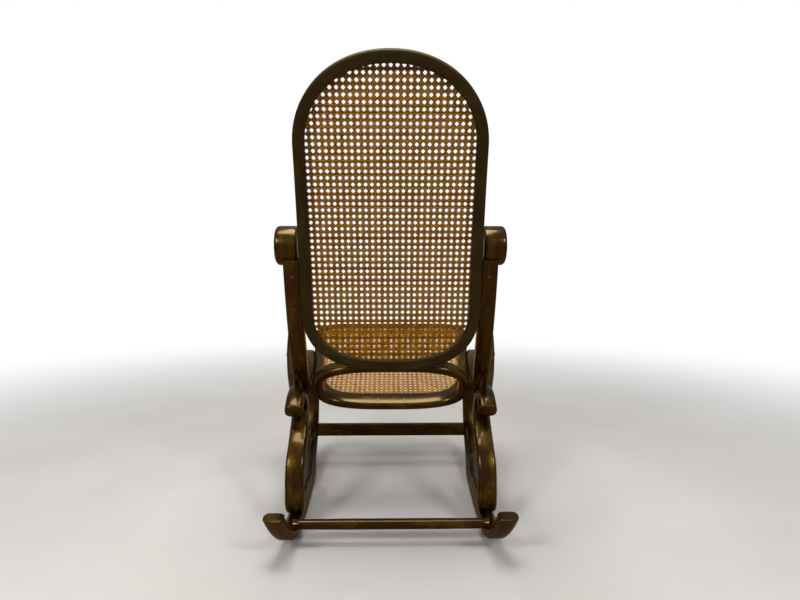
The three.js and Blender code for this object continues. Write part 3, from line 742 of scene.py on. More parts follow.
@dataclass(frozen=True)
class SplitCane:
    """Rattan bark split into strands: a hard golden skin with a soft sheen, darker with age.

    Each strand is darkened towards its edges with painted shade, standing in for the shadow where strands
    cross and meet; the band is drawn about 0.5 mm wide, a little coarser than the shadow is, so that it
    shows.
    that they show.
    """

    name: str
    pale: str = "#dfab50"
    golden: str = "#c68c38"
    brown: str = "#985e18"
    gap: str = "#4a2408"
    sheen_tint: str = "#f0c070"
    skin_stops: tuple[float, float, float] = (0.05, 0.5, 0.95)
    edge_range: tuple[float, float] = (0.5, 0.95)
    edge_amount: float = 0.75
    fibre_mm: float = 0.45
    fibre_stretch: float = 40.0
    blotches_per_metre: float = 38.0
    roughness: float = 0.42
    tone_spread: float = 0.6
    shade_range: tuple[float, float] = (0.8, 1.2)
    bump_mm: float = 0.1

    def build(self) -> bpy.types.Material:
        """Builds the material.

        Returns:
            The material.
        """
        material, tree, surface = new_material(self.name)
        tone, grain, across = (
            add_node(tree, "ShaderNodeAttribute", attribute_name=name, attribute_type="GEOMETRY")
            for name in ("tone", "grain", "across"))
        place, per_metre = grain.outputs["Vector"], 1.0 / (self.fibre_mm * MM)
        fibres = add_node(tree, "ShaderNodeMapping", {
            "Vector": place, "Scale": (per_metre, per_metre, per_metre / self.fibre_stretch)})
        fine = add_node(tree, "ShaderNodeTexNoise", {
            "Vector": fibres.outputs["Vector"], "Scale": 1.0, "Detail": 2.0}).outputs["Fac"]
        blotch = add_node(tree, "ShaderNodeTexNoise", {
            "Vector": place, "Scale": self.blotches_per_metre, "Detail": 3.0}).outputs["Fac"]
        mixed = add_node(tree, "ShaderNodeMath", {0: fine, 1: blotch}, operation="ADD").outputs[0]
        shade = add_node(tree, "ShaderNodeMath", {
            0: tone.outputs["Fac"], 1: self.tone_spread, 2: mixed}, operation="MULTIPLY_ADD").outputs[0]
        spread = add_node(tree, "ShaderNodeMapRange", {
            "Value": shade, "From Min": self.shade_range[0],
            "From Max": self.shade_range[1] + self.tone_spread}).outputs["Result"]
        skin = add_node(tree, "ShaderNodeValToRGB", {0: spread},
                        tuple(zip(self.skin_stops, (self.brown, self.golden, self.pale))))
        # Painted shade: each strand darkens towards its edges, in place of the shadow between strands.
        away = add_node(tree, "ShaderNodeMath", {0: across.outputs["Fac"]}, operation="ABSOLUTE").outputs[0]
        edge = add_node(tree, "ShaderNodeMapRange", {
            "Value": away, "From Min": self.edge_range[0], "From Max": self.edge_range[1],
            "To Max": self.edge_amount}).outputs["Result"]
        colour = add_node(tree, "ShaderNodeMix", {
            0: edge, 6: skin.outputs["Color"], 7: linear(self.gap)}, data_type="RGBA")
        tree.links.new(colour.outputs[2], surface.inputs["Base Color"])
        surface.inputs["Roughness"].default_value = self.roughness
        surface.inputs["IOR"].default_value = 1.48
        surface.inputs["Specular IOR Level"].default_value = 0.25
        surface.inputs["Specular Tint"].default_value = linear(self.sheen_tint)
        bump = add_node(tree, "ShaderNodeBump", {
            "Height": fine, "Strength": 0.35, "Distance": self.bump_mm * MM})
        tree.links.new(bump.outputs["Normal"], surface.inputs["Normal"])
        return material


@dataclass(frozen=True)
class TarnishedSteel:
    """Turned steel screw heads, filed bright once and browned by a century of varnish and damp."""

    name: str = "tarnished_steel"
    bright: str = "#8d8679"
    brown: str = "#3f2c1c"
    blotch_mm: float = 1.6
    colour_stops: tuple[float, float] = (0.38, 0.6)
    roughness_range: tuple[float, float] = (0.3, 0.7)
    metallic: float = 0.85
    roughness: float = 0.38
    brown_roughness: float = 0.58

    def build(self) -> bpy.types.Material:
        """Builds the material.

        Returns:
            The material.
        """
        material, tree, surface = new_material(self.name)
        place = add_node(tree, "ShaderNodeTexCoord").outputs["Object"]
        blotch = add_node(tree, "ShaderNodeTexNoise", {
            "Vector": place, "Scale": 1.0 / (self.blotch_mm * MM), "Detail": 3.0}).outputs["Fac"]
        colour = add_node(tree, "ShaderNodeValToRGB", {0: blotch},
                          tuple(zip(self.colour_stops, (self.brown, self.bright))))
        tree.links.new(colour.outputs["Color"], surface.inputs["Base Color"])
        rough = add_node(tree, "ShaderNodeMapRange", {
            "Value": blotch, "From Min": self.roughness_range[0], "From Max": self.roughness_range[1],
            "To Min": self.brown_roughness, "To Max": self.roughness})
        tree.links.new(rough.outputs["Result"], surface.inputs["Roughness"])
        surface.inputs["Metallic"].default_value = self.metallic
        return material


@dataclass
class Finishes:
    """The chair's materials, built once."""

    varnished: bpy.types.Material = field(default_factory=lambda: VarnishedBentwood().build())
    dusty: bpy.types.Material = field(default_factory=lambda: VarnishedBentwood(
        name="dusty_bentwood", dark="#150f05", middle="#241b09", light="#33280f", worn="#3b3014",
        specular=0.3, roughness=0.5, roughness_spread=0.16, coat=0.05, coat_roughness=0.4,
        dust="#5a5238", dust_amount=0.2).build())
    # The back's cane is a darker copy of the seat's: painted shade of cane seen from behind, in its own
    # shadow.
    back_cane: bpy.types.Material = field(default_factory=lambda: SplitCane(
        name="aged_split_cane", pale="#d09a40", golden="#ae7a28", brown="#76400e",
        gap="#38100a", edge_amount=0.9).build())
    seat_cane: bpy.types.Material = field(default_factory=lambda: SplitCane(name="golden_split_cane").build())
    reed: bpy.types.Material = field(default_factory=lambda: SplitCane(
        name="flat_reed_spline", pale="#96662f", golden="#77491f", brown="#4f2d12", roughness=0.5).build())
    steel: bpy.types.Material = field(default_factory=lambda: TarnishedSteel().build())


# Side frames


@dataclass
class SideFrames:
    """The two bent sticks of each side and the post between their scrolls."""

    layout: Layout
    finishes: Finishes
    cuts: int = 240
    end_edge: float = 2.2
    # Runner stick
    runner_width: float = 41.0
    runner_scroll_width: float = 47.0
    runner_edge: float = 11.5
    curl_handle: float = 100.0
    tip_rise: float = 67.0
    tip_length: float = 150.0
    tip_reach_share: float = 0.72
    tip_face_degrees: float = 74.0
    tip_swell: float = 0.06
    tip_swell_to_share: float = 0.06
    tip_spare: float = 26.0
    tip_edge: float = 1.5
    scroll_radius: float = 88.0
    scroll_y: float = 33.0
    scroll_top: float = 320.0
    scroll_from: float = 110.0
    scroll_to: float = 8.0
    scroll_cut: float = 40.0
    scroll_splay: float = 8.0
    scroll_handle: float = 60.0
    scroll_face_degrees: float = 25.0
    splay_from_share: float = 0.72
    flare_from_share: float = 0.86
    saw_below_scroll: float = 60.0
    saw_before_scroll: float = 10.0
    saw_before_tip: float = 40.0
    # Arm stick
    arm_width: float = 52.0
    arm_edge: float = 8.5
    loop_width: float = 45.0
    loop_heel_radius: float = 26.0
    loop_rear_y: float = 184.0
    loop_end_y: float = -29.0
    loop_gap: float = 0.1
    arm_scroll_turn: float = 205.0
    arm_scroll_reach_share: float = 0.813
    arm_depth_shares: tuple[float, ...] = (
        0.157, -0.162, -0.43, -0.608, -0.691, -0.678, -0.597, -0.446, -0.233, -0.01, 0.157, 0.304, 0.39)
    arm_rise_shares: tuple[float, ...] = (
        0.974, 0.956, 0.914, 0.831, 0.713, 0.602, 0.508, 0.428, 0.368, 0.345, 0.321, 0.266, 0.201)
    arm_reach_shares: tuple[float, ...] = (
        0.859, 0.917, 0.966, 0.993, 1.003, 1.003, 1.003, 0.966, 0.893, 0.828, 0.797, 0.79, 0.797)
    narrow_from_share: float = 0.25
    narrow_to_share: float = 0.45
    # Post
    post_width: float = 39.0
    post_depth: float = 26.0
    post_edge: float = 5.0
    post_cuts: int = 60
    post_top_y: float = 208.0
    post_bow_out: float = 2.0
    post_bow_y: float = 140.0
    post_bow_z: float = 440.0
    post_foot_y: float = 17.0
    post_foot_out: float = 4.0
    post_lap: float = 9.0
    head_stand: float = 0.2

    @property
    def curl_y(self) -> float:
        """Place of the middle of the front curl along the chair."""
        return -self.layout.depth / 2 + self.layout.half + self.layout.curl_radius

    @property
    def curl_slope(self) -> float:
        """Slope, in radians, at which the rocker runs into the front curl."""
        lay = self.layout
        return math.asin((lay.rest_y - self.curl_y) / (lay.front_middle - lay.curl_radius))

    @property
    def curl_z(self) -> float:
        """Height of the middle of the front curl."""
        lay = self.layout
        return lay.front_centre - (lay.front_middle - lay.curl_radius) * math.cos(self.curl_slope)

    @property
    def scroll_z(self) -> float:
        """Height of the middle of the lower scroll."""
        return self.scroll_top - self.layout.half - self.scroll_radius

    def runner_line(self) -> Bend:
        """Middle line of the runner stick, from its rear tip forward and back to the lower scroll.

        Returns:
            The line, on the sitter's left.
        """
        lay = self.layout
        radius, z0 = lay.rear_middle, lay.rear_centre
        slope = math.asin((lay.depth / 2 - self.tip_length - lay.rest_y) / radius)
        y1, z1 = lay.rest_y + radius * math.sin(slope), z0 - radius * math.cos(slope)
        y3 = y1 + self.tip_length * self.tip_reach_share
        z3 = z1 + (y3 - y1) * math.tan(slope) + self.tip_rise
        y2 = (y1 + y3) / 2
        turn = math.degrees(self.curl_slope)
        scroll = arc(self.scroll_y, self.scroll_z, self.scroll_radius, self.scroll_from, self.scroll_to, 60)
        lead = math.radians(self.scroll_from - 90)
        run_up = scroll[0] - self.scroll_handle * np.array([math.cos(lead), math.sin(lead)])
        over = self.curl_z + lay.curl_radius
        flat = np.vstack([
            bezier(((y3, z3), (y2, z1 + (y2 - y1) * math.tan(slope)), (y1, z1))),
            arc(lay.rest_y, z0, radius, -90 + math.degrees(slope), -90, 90),
            arc(lay.rest_y, lay.front_centre, lay.front_middle, -90, -90 - turn, 60),
            arc(self.curl_y, self.curl_z, lay.curl_radius, -90 - turn, -270, 120),
            bezier(((self.curl_y, over), (self.curl_y + self.curl_handle, over), run_up, scroll[0]), 120),
            scroll,
        ])
        splay = self.scroll_splay * eased(np.linspace(0, 1, len(flat)), self.splay_from_share, 1.0)
        return Bend.through(np.c_[lay.side_x(flat[:, 0]) + splay, flat])

    def arm_line(self) -> Bend:
        """Middle line of the arm stick, from its rear scroll to where the loop lands on the rocker.

        Returns:
            The line, on the sitter's left.
        """
        lay = self.layout
        radius = lay.rear_middle - lay.stick - self.loop_gap
        heel_y = self.loop_rear_y - lay.half - self.loop_heel_radius
        slope = math.degrees(math.asin((heel_y - lay.rest_y) / (radius - self.loop_heel_radius)))
        heel_z = lay.rear_centre - (radius - self.loop_heel_radius) * math.cos(math.radians(slope))
        landing = math.degrees(math.asin((self.loop_end_y - lay.rest_y) / radius))
        scroll = arc(lay.arm_scroll_y, lay.arm_scroll_z, lay.arm_scroll_radius,
                     90 - self.arm_scroll_turn, 90, 9)
        heel = arc(heel_y, heel_z, self.loop_heel_radius, 0, -90 + slope, 6)
        tail = arc(lay.rest_y, lay.rear_centre, radius, -90 + slope, -90 + landing, 5)[1:]
        arm = np.stack([np.array(self.arm_reach_shares) * lay.side_reach,
                        np.array(self.arm_depth_shares) * lay.depth / 2,
                        np.array(self.arm_rise_shares) * lay.arm_top], axis=1)
        return Bend.through(smooth_spline(np.vstack([
            np.c_[np.full(len(scroll), self.arm_scroll_reach_share * lay.side_reach), scroll], arm,
            np.c_[lay.side_x(heel[:, 0]), heel], np.c_[lay.side_x(tail[:, 0]), tail]])))

    def post_line(self) -> Bend:
        """Middle line of a post, from the arm's scroll down to the lower scroll.

        Returns:
            The line, on the sitter's left.
        """
        lay = self.layout
        top = (lay.post_x, self.post_top_y, lay.arm_scroll_z)
        bow = (lay.post_x + self.post_bow_out, self.post_bow_y, self.post_bow_z)
        foot = (lay.post_x + self.post_foot_out, self.post_foot_y, self.scroll_z + self.scroll_radius)
        line = bezier((top, bow, foot), 160)
        under = np.hypot(line[:, 1] - lay.arm_scroll_y, line[:, 2] - lay.arm_scroll_z)
        return Bend.through(line[under > lay.arm_scroll_radius + lay.half - self.post_lap])

    def post_rear(self, z: float, sign: float) -> tuple[Point, Point]:
        """The middle of a post's rear face at a height, and the way that it faces.

        Args:
            z: the height in millimetres.
            sign: the side of the chair.

        Returns:
            The place and the direction.
        """
        line = self.post_line()
        along = np.interp([-z], -line.points[:, 2], line.reached)
        rear = np.cross([1.0, 0.0, 0.0], line.heading(along)[0])
        rear *= math.copysign(1.0, rear[1]) / np.linalg.norm(rear)
        place = line.place(along)[0] + rear * (self.post_depth / 2 + self.head_stand)
        return place * [sign, 1, 1], rear * [sign, 1, 1]

    def build_runner(self, side: Side) -> bpy.types.Object:
        """One runner stick: flat on the floor under the chair, its end sawn to a sloping face.

        Args:
            side: the side of the chair.

        Returns:
            The stick.
        """
        lay, line = self.layout, self.runner_line()
        bar = straight_bar(f"{side.word}_runner", self.runner_width, lay.stick, line.length + self.tip_spare,
                           self.runner_edge, 0.0, self.cuts)
        keep_grain(bar, Figure.RUNNER.value + side.value)
        set_coordinates(bar, coordinates(bar) - [0, 0, self.tip_spare])
        flare = self.runner_scroll_width / self.runner_width - 1
        bend_bar(bar, line, lambda s: 1 + flare * eased(s, self.flare_from_share, 1.0)
                 + self.tip_swell * (1 - eased(s, 0.0, self.tip_swell_to_share)))
        set_coordinates(bar, np.maximum(coordinates(bar), [-np.inf, -np.inf, 0.0]))
        out, cut = math.radians(self.scroll_face_degrees), math.radians(self.scroll_cut)
        rim, low = self.scroll_radius + lay.half, self.scroll_z - self.saw_below_scroll
        x = float(lay.side_x(self.scroll_y)) + self.scroll_splay
        saw_off(bar, lambda v: v.z > low and v.y > self.scroll_y - self.saw_before_scroll and v.x > 0,
                (x, self.scroll_y + rim * math.cos(cut), self.scroll_z + rim * math.sin(cut)),
                (0, math.cos(out), -math.sin(out)), self.end_edge)
        tip, rise = line.points[0], math.radians(self.tip_face_degrees)
        saw_off(bar, lambda v: v.z < low and v.y > tip[1] - self.saw_before_tip, tuple(tip),
                (0, math.cos(rise), math.sin(rise)), self.tip_edge)
        return finished(bar, f"{side.word}_runner_stick", self.finishes.varnished,
                        mirror=side is Side.RIGHT)

    def build_arm(self, side: Side) -> bpy.types.Object:
        """One arm stick: wide along the arm, narrower where it turns under the seat.

        Args:
            side: the side of the chair.

        Returns:
            The stick.
        """
        line = self.arm_line()
        bar = straight_bar(f"{side.word}_arm", self.arm_width, self.layout.stick, line.length, self.arm_edge,
                           self.end_edge, self.cuts)
        keep_grain(bar, Figure.ARM.value + side.value)
        narrow = self.loop_width / self.arm_width - 1
        bend_bar(bar, line, lambda s: 1 + narrow * eased(s, self.narrow_from_share, self.narrow_to_share))
        return finished(bar, f"{side.word}_arm_stick", self.finishes.varnished,
                        mirror=side is Side.RIGHT)

    def build_post(self, side: Side) -> bpy.types.Object:
        """One post, bowed forward at its foot.

        Args:
            side: the side of the chair.

        Returns:
            The post.
        """
        line = self.post_line()
        bar = straight_bar(f"{side.word}_post", self.post_width, self.post_depth, line.length,
                           self.post_edge, 0.0, self.post_cuts)
        keep_grain(bar, Figure.POST.value + side.value)
        bend_bar(bar, line)
        return finished(bar, f"{side.word}_side_post", self.finishes.varnished,
                        mirror=side is Side.RIGHT)

    def build(self) -> list[bpy.types.Object]:
        """Builds both sides."""
        return [make(side) for side in Side for make in (self.build_runner, self.build_arm, self.build_post)]


# Closed hoops


@dataclass(frozen=True)
class Rebate:
    """The step in a rim that takes the cane: how far in from the inner edge, and how deep."""

    width: float = 11.0
    depth: float = 5.5


def closed_hoop(name: str, outline: Bend, width: float, depth: float, edge: float, surface: Surface,
                figure: Figure, cuts: int = 240, rebate: Rebate | None = None,
                inner_edge: float = 2.0) -> bpy.types.Object:
    """A bar whose section is bent round a closed outline and joined to itself.

    Args:
        name: the piece's name.
        outline: the outer edge, closed, in the flat piece's own plane.
        width: from the outer edge inwards.
        depth: through the rim, from 0.
        edge: radius of its edges.
        surface: lays points of the flat piece on the chair.
        figure: shift of its figure.
        cuts: how many cuts round it.
        rebate: the step at the inner edge of the far face, if it has one.
        inner_edge: radius of the edges beside the rebate.

    Returns:
        The hoop, in millimetres.
    """
    step = rebate.width if rebate else 0.0
    bar = new_block(name, (width - step, depth, outline.length),
                    ((width - step) / 2, depth / 2, outline.length / 2))
    if rebate:
        floor = depth - rebate.depth
        bpy.ops.mesh.bisect(plane_co=(0, floor, 0), plane_no=(0, 1, 0))
        pick(bar, lambda f: f.normal.x > ALIGNED and f.calc_center_median().y < floor, Parts.FACES)
        bpy.ops.mesh.extrude_region_move(TRANSFORM_OT_translate={"value": (step, 0, 0)})
    pick(bar, lambda f: abs(f.normal.z) > ALIGNED, Parts.FACES)
    bpy.ops.mesh.delete(type="ONLY_FACE")
    pick(bar, lambda e: runs_along(e) and e.verts[0].co.x < TOUCH)
    round_edges(edge, facets=4)
    pick(bar, lambda e: runs_along(e) and e.verts[0].co.x > width - TOUCH)
    round_edges(inner_edge if rebate else edge, facets=4)
    divide_along(bar, outline.length, cuts)
    bpy.ops.object.mode_set(mode="OBJECT")
    keep_grain(bar, figure.value)
    straight = coordinates(bar)
    along = np.mod(straight[:, 2], outline.length)
    tangent = closed_heading(outline, along)
    inward = np.stack([-tangent[:, 1], tangent[:, 0]], axis=1)
    set_coordinates(bar, surface(np.c_[outline.place(along) + inward * straight[:, :1], straight[:, 1]]))
    edit_all(bar)
    bpy.ops.mesh.remove_doubles(threshold=0.01)
    bpy.ops.object.mode_set(mode="OBJECT")
    return bar


def closed_heading(outline: Bend, along: Point, reach: float = 6.0) -> Point:
    """Unit directions of a closed outline.

    Args:
        outline: the outline.
        along: lengths from its start.
        reach: how far ahead and behind each direction is measured.

    Returns:
        A row for each length.
    """
    ahead, behind = (outline.place(np.mod(along + step, outline.length)) for step in (reach, -reach))
    return (ahead - behind) / np.linalg.norm(ahead - behind, axis=1, keepdims=True)


def inset_outline(outline: Bend, inset: float, count: int = 240) -> Point:
    """Points of a closed outline moved inwards.

    Args:
        outline: the outline.
        inset: how far inwards.
        count: how many points.

    Returns:
        A row for each point.
    """
    along = np.linspace(0, outline.length, count, endpoint=False)
    tangent = closed_heading(outline, along)
    return outline.place(along) + np.stack([-tangent[:, 1], tangent[:, 0]], axis=1) * inset


def resampled(points: Point, count: int = 720) -> Bend:
    """A closed line with evenly spaced points, its first point repeated at the end."""
    line = Bend.through(np.vstack([points, points[:1]]))
    return Bend.through(line.place(np.linspace(0, line.length, count)))


# Woven cane


def scattered(number: int) -> float:
    """A share from 0 to 1 that looks random and is the same each time."""
    return (math.sin(number * 12.9898) * 43758.5453) % 1.0


@dataclass
class CaneWeave:
    """Six-way cane: pairs up and across with a diagonal each way between them.

    The strands leave an eight-sided hole at each middle of the square grid.
    """

    name: str
    node: str
    pitch: float
    rise: float
    middle: float
    opening: Point
    surface: Surface
    plane: float
    material: bpy.types.Material
    facets_per_cell: int
    strand: float = 2.8
    thickness: float = 0.55
    wave: float = 0.42
    pair: float = 1.45
    straight_level: float = 0.18
    diagonal_level: float = 0.5
    least_share: float = 0.4
    least_pieces: int = 2
    most_pieces: int = 99
    figure_step: tuple[float, float, float] = (0.013, 0.0, 0.071)
    masters: dict[int, bpy.types.Mesh] = field(default_factory=dict)
    laid: list[bpy.types.Object] = field(default_factory=list)
    index: int = 0

    def master(self, pieces: int) -> bpy.types.Mesh:
        """One straight strand, modelled once for each number of pieces along it.

        Args:
            pieces: how many.

        Returns:
            Its mesh, one unit long, wide and thick.
        """
        if pieces not in self.masters:
            bar = new_block("strand", (1.0, 1.0, 1.0), (0, 0, 0.5))
            pick(bar, runs_along)
            bpy.ops.mesh.subdivide(number_cuts=pieces - 1)
            bpy.ops.object.mode_set(mode="OBJECT")
            self.masters[pieces] = bar.data
            bpy.data.objects.remove(bar)
        return self.masters[pieces]

    def clipped(self, start: Point, heading: Point) -> tuple[float, float] | None:
        """Where a straight line enters and leaves the opening.

        Args:
            start: a place on the line.
            heading: its direction.

        Returns:
            The lengths from the start, or None where the line misses or only nicks the opening.
        """
        corners, following = self.opening, np.roll(self.opening, -1, axis=0)
        side = np.array([-heading[1], heading[0]])
        a, b = (corners - start) @ side, (following - start) @ side
        hit = (a * b) < 0
        if hit.sum() < 2:
            return None
        share = (a[hit] / (a[hit] - b[hit]))[:, None]
        along = (corners[hit] + (following[hit] - corners[hit]) * share - start) @ heading
        low, high = float(along.min()), float(along.max())
        return (low, high) if high - low > self.pitch * self.least_share else None

    def lay(self, start: Sequence[float], heading: Point, level: float, turns: int, cell: float) -> None:
        """Lays one strand from rim to rim, waving over and under the others.

        Args:
            start: a place on its middle line.
            heading: its direction.
            level: its mean height over the plane of the weave.
            turns: how many half waves it is ahead.
            cell: the length of a half wave.
        """
        number, self.index = self.index, self.index + 1
        origin = np.array(start)
        span = self.clipped(origin, heading)
        if span is None:
            return
        low, high = span
        pieces = round((high - low) / cell * self.facets_per_cell)
        mesh = self.master(int(np.clip(pieces, self.least_pieces, self.most_pieces))).copy()
        strand = bpy.data.objects.new(f"{self.name}_{number}", mesh)
        bpy.context.collection.objects.link(strand)
        unit = coordinates(strand)
        along = low + (high - low) * unit[:, 2]
        side = np.array([-heading[1], heading[0]])
        flat = origin + heading * along[:, None] + side * (unit[:, 0] * self.strand)[:, None]
        lift = level + self.wave * np.cos(np.pi * (along / cell) + np.pi * turns)
        set_coordinates(strand, self.surface(np.c_[flat, self.plane + lift + unit[:, 1] * self.thickness]))
        tone = mesh.attributes.new("tone", "FLOAT", "POINT")
        tone.data.foreach_set("value", np.full(len(unit), scattered(number)))
        across = mesh.attributes.new("across", "FLOAT", "POINT")
        across.data.foreach_set("value", unit[:, 0] * 2)
        grain = mesh.attributes.new("grain", "FLOAT_VECTOR", "POINT")
        grain.data.foreach_set("vector", (np.c_[unit[:, 0] * self.strand, unit[:, 1], along] * MM
                                          + np.array(self.figure_step) * number).ravel())
        self.laid.append(strand)

    def build(self) -> bpy.types.Object:
        """Weaves the panel and joins its strands to one piece.

        Returns:
            The panel.
        """
        p, q, y = self.pitch, self.rise, self.middle
        reach = self.opening.max(0) - self.opening.min(0)
        columns, rows = int(reach[0] / p) + 3, int(reach[1] / q) + 3
        up, right = np.array([0.0, 1.0]), np.array([1.0, 0.0])
        for k in range(-columns // 2, columns // 2 + 2):
            for side in (-1, 1):
                self.lay(((k + 0.5) * p + side * self.pair, y), up, self.straight_level, k, q)
        for m in range(-rows // 2, rows // 2 + 2):
            for side in (-1, 1):
                self.lay((0.0, y + (m + 0.5) * q + side * self.pair), right, -self.straight_level, m + 1, p)
        diagonal = math.hypot(p, q)
        slant = np.array([p, q]) / diagonal
        for k in range(-(columns + rows) // 2 - 1, (columns + rows) // 2 + 2):
            for sign in (1, -1):
                self.lay(((k + 0.5) * p, y), slant * [1, sign], sign * self.diagonal_level, k, diagonal)
        nothing_selected()
        for strand in self.laid:
            strand.select_set(True)
        bpy.context.view_layer.objects.active = self.laid[0]
        bpy.ops.object.join()
        panel = bpy.context.object
        panel.name = panel.data.name = self.name
        return finished(panel, self.node, self.material, crisp=60)


# Back and seat


@dataclass
class CanedFrame:
    """A closed rim with woven cane in its rebate and the reed that wedges the cane in.

    A subclass gives the values that have none here, the outline and the surface that it lies on.
    """

    layout: Layout
    finishes: Finishes
    word: str
    rim_width: float
    rim_depth: float
    edge: float
    inner_edge: float
    facets_per_cell: int
    rim_slot: Slot
    rim_figure: Figure
    reed_figure: Figure
    rebate: Rebate = Rebate()
    rim_cuts: int = 300
    cane_clearance: float = 1.5
    cane_rise: float = 1.6
    reed_clearance: float = 0.8
    reed_rise: float = 3.0
    reed_width: float = 5.0
    reed_depth: float = 2.4
    reed_edge: float = 1.1
    base: float = 0.0
    outline: Bend = field(init=False)
    pitch: float = field(init=False)
    row_pitch: float = field(init=False)
    weave_middle: float = field(init=False)
    rim_finish: bpy.types.Material = field(init=False)
    cane_finish: bpy.types.Material = field(init=False)

    def surface(self, places: Point) -> Point:
        """Lays flat points on the chair, each subclass in its own way."""
        raise NotImplementedError

    def raised(self, height: float) -> Surface:
        """The surface that flat points are laid on, this much further out."""
        return lambda places: self.surface(places + [0, 0, height])

    def build(self) -> list[bpy.types.Object]:
        """Builds the rim, the cane and the reed.

        Returns:
            The three pieces.
        """
        step, floor = self.rim_width - self.rebate.width, self.base + self.rim_depth - self.rebate.depth
        rim = closed_hoop(f"{self.word}_rim", self.outline, self.rim_width, self.rim_depth, self.edge,
                          self.raised(self.base), self.rim_figure, self.rim_cuts, self.rebate,
                          self.inner_edge)
        pieces = [finished(rim, f"{self.word}_frame", self.rim_finish)]
        opening = inset_outline(self.outline, step + self.cane_clearance)
        weave = CaneWeave(f"{self.word}_cane_panel", f"{self.word}_cane", self.pitch, self.row_pitch,
                          self.weave_middle, opening, self.surface, floor + self.cane_rise,
                          self.cane_finish, self.facets_per_cell)
        pieces.append(weave.build())
        reed_line = resampled(inset_outline(self.outline, step + self.reed_clearance))
        reed = closed_hoop(f"{self.word}_reed", reed_line, self.reed_width, self.reed_depth, self.reed_edge,
                           self.raised(floor + self.reed_rise), self.reed_figure)
        pieces.append(finished(reed, f"{self.word}_spline", self.finishes.reed))
        return pieces


@dataclass
class Back(CanedFrame):
    """The long hoop of the back, bent to the sitter's spine."""

    word: str = "back"
    rim_width: float = 25.0
    rim_depth: float = 20.0
    edge: float = 4.5
    inner_edge: float = 1.6
    shoulder: float = 190.0
    heel: float = 165.0
    head_share: float = 0.978
    head_fullness: float = 2.1
    heel_fullness: float = 2.6
    post_width: float = 39.0
    lap: float = 2.04
    lean_shares: tuple[float, ...] = (0.0, 0.237, 0.576, 1.0)
    rise_shares: tuple[float, ...] = (0.0, 0.343, 0.676, 1.0)
    spine_reach: float = 12.0
    columns: int = 27
    row_pitch: float = 14.1
    weave_drop: float = 0.2
    facets_per_cell: int = 2
    rim_slot: Slot = Slot.DUSTY_WALNUT
    rim_figure: Figure = Figure.BACK_RIM
    reed_figure: Figure = Figure.BACK_REED
    profile: Bend = field(init=False)

    def __post_init__(self) -> None:
        """Works out the profile of the spine, the flat outline and the weave."""
        lay = self.layout
        rise, lean = lay.back_top - lay.back_bottom, lay.depth / 2 - lay.back_foot_y
        self.profile = Bend.through(even_spline(np.stack([
            lay.back_foot_y + np.array(self.lean_shares) * lean,
            lay.back_bottom + np.array(self.rise_shares) * rise], axis=1)))
        half_width = lay.post_x - self.post_width / 2 + self.lap
        upper, turn = self.profile.length - self.shoulder, np.linspace(0, math.pi, 90)
        top = full_oval(turn, half_width * self.head_share, self.shoulder, self.head_fullness) + [0, upper]
        foot = full_oval(turn + math.pi, half_width, self.heel, self.heel_fullness) + [0, self.heel]
        self.outline = resampled(np.vstack([top, foot]))
        self.pitch = 2 * (half_width - self.rim_width) / self.columns
        self.weave_middle = self.profile.length / 2 - self.weave_drop
        self.rim_finish, self.cane_finish = self.finishes.dusty, self.finishes.back_cane

    def surface(self, places: Point) -> Point:
        """Lays flat points on the back.

        Args:
            places: across, up from the foot, and forward of the rear face.

        Returns:
            Their places in the chair.
        """
        along, forward = places[:, 1], places[:, 2]
        spot, turn = self.profile.place(along), self.profile.heading(along, self.spine_reach)
        return np.c_[places[:, 0], spot[:, 0] - turn[:, 1] * forward, spot[:, 1] + turn[:, 0] * forward]


@dataclass
class Seat(CanedFrame):
    """The seat frame, which slopes up to the front."""

    word: str = "seat"
    rim_width: float = 31.0
    rim_depth: float = 31.0
    edge: float = 8.0
    inner_edge: float = 3.0
    rear_reach_share: float = 0.68
    front_reach_share: float = 0.855
    rear_corner: float = 120.0
    front_corner: float = 96.0
    pitch: float = 12.9
    facets_per_cell: int = 3
    rim_slot: Slot = Slot.WALNUT
    rim_figure: Figure = Figure.SEAT_RIM
    reed_figure: Figure = Figure.SEAT_REED
    slope: float = field(init=False)

    def __post_init__(self) -> None:
        """Works out the flat outline, anticlockwise from the middle of the rear, and the weave."""
        lay = self.layout
        self.slope = math.radians(lay.seat_slope_degrees)
        length = (lay.seat_rear_y - lay.seat_front_y) / math.cos(self.slope)
        rear = np.array([self.rear_reach_share * lay.side_reach, 0.0])
        front = np.array([self.front_reach_share * lay.side_reach, length])
        side = (front - rear) / np.linalg.norm(front - rear)
        rear_turn, front_turn = rear - [self.rear_corner, 0], front - [self.front_corner, 0]
        half = np.vstack([
            bezier(((0.0, 0.0), rear_turn), 12),
            bezier((rear_turn, rear, rear + side * self.rear_corner), 24),
            bezier((front - side * self.front_corner, front, front_turn), 24),
            bezier((front_turn, (0.0, length)), 12)])
        self.outline = resampled(np.vstack([half, half[::-1] * [-1, 1]]))
        self.base = -self.rim_depth
        self.row_pitch, self.weave_middle = self.pitch, length / 2
        self.rim_finish, self.cane_finish = self.finishes.varnished, self.finishes.seat_cane

    def surface(self, places: Point) -> Point:
        """Lays flat points on the seat.

        Args:
            places: across, forward from the rear edge, and up from the top face.

        Returns:
            Their places in the chair.
        """
        c, s = math.cos(self.slope), math.sin(self.slope)
        return np.c_[places[:, 0], self.layout.seat_rear_y - places[:, 1] * c + places[:, 2] * s,
                     self.layout.seat_rear_top + places[:, 1] * s + places[:, 2] * c]


# Ring, rod and stretcher


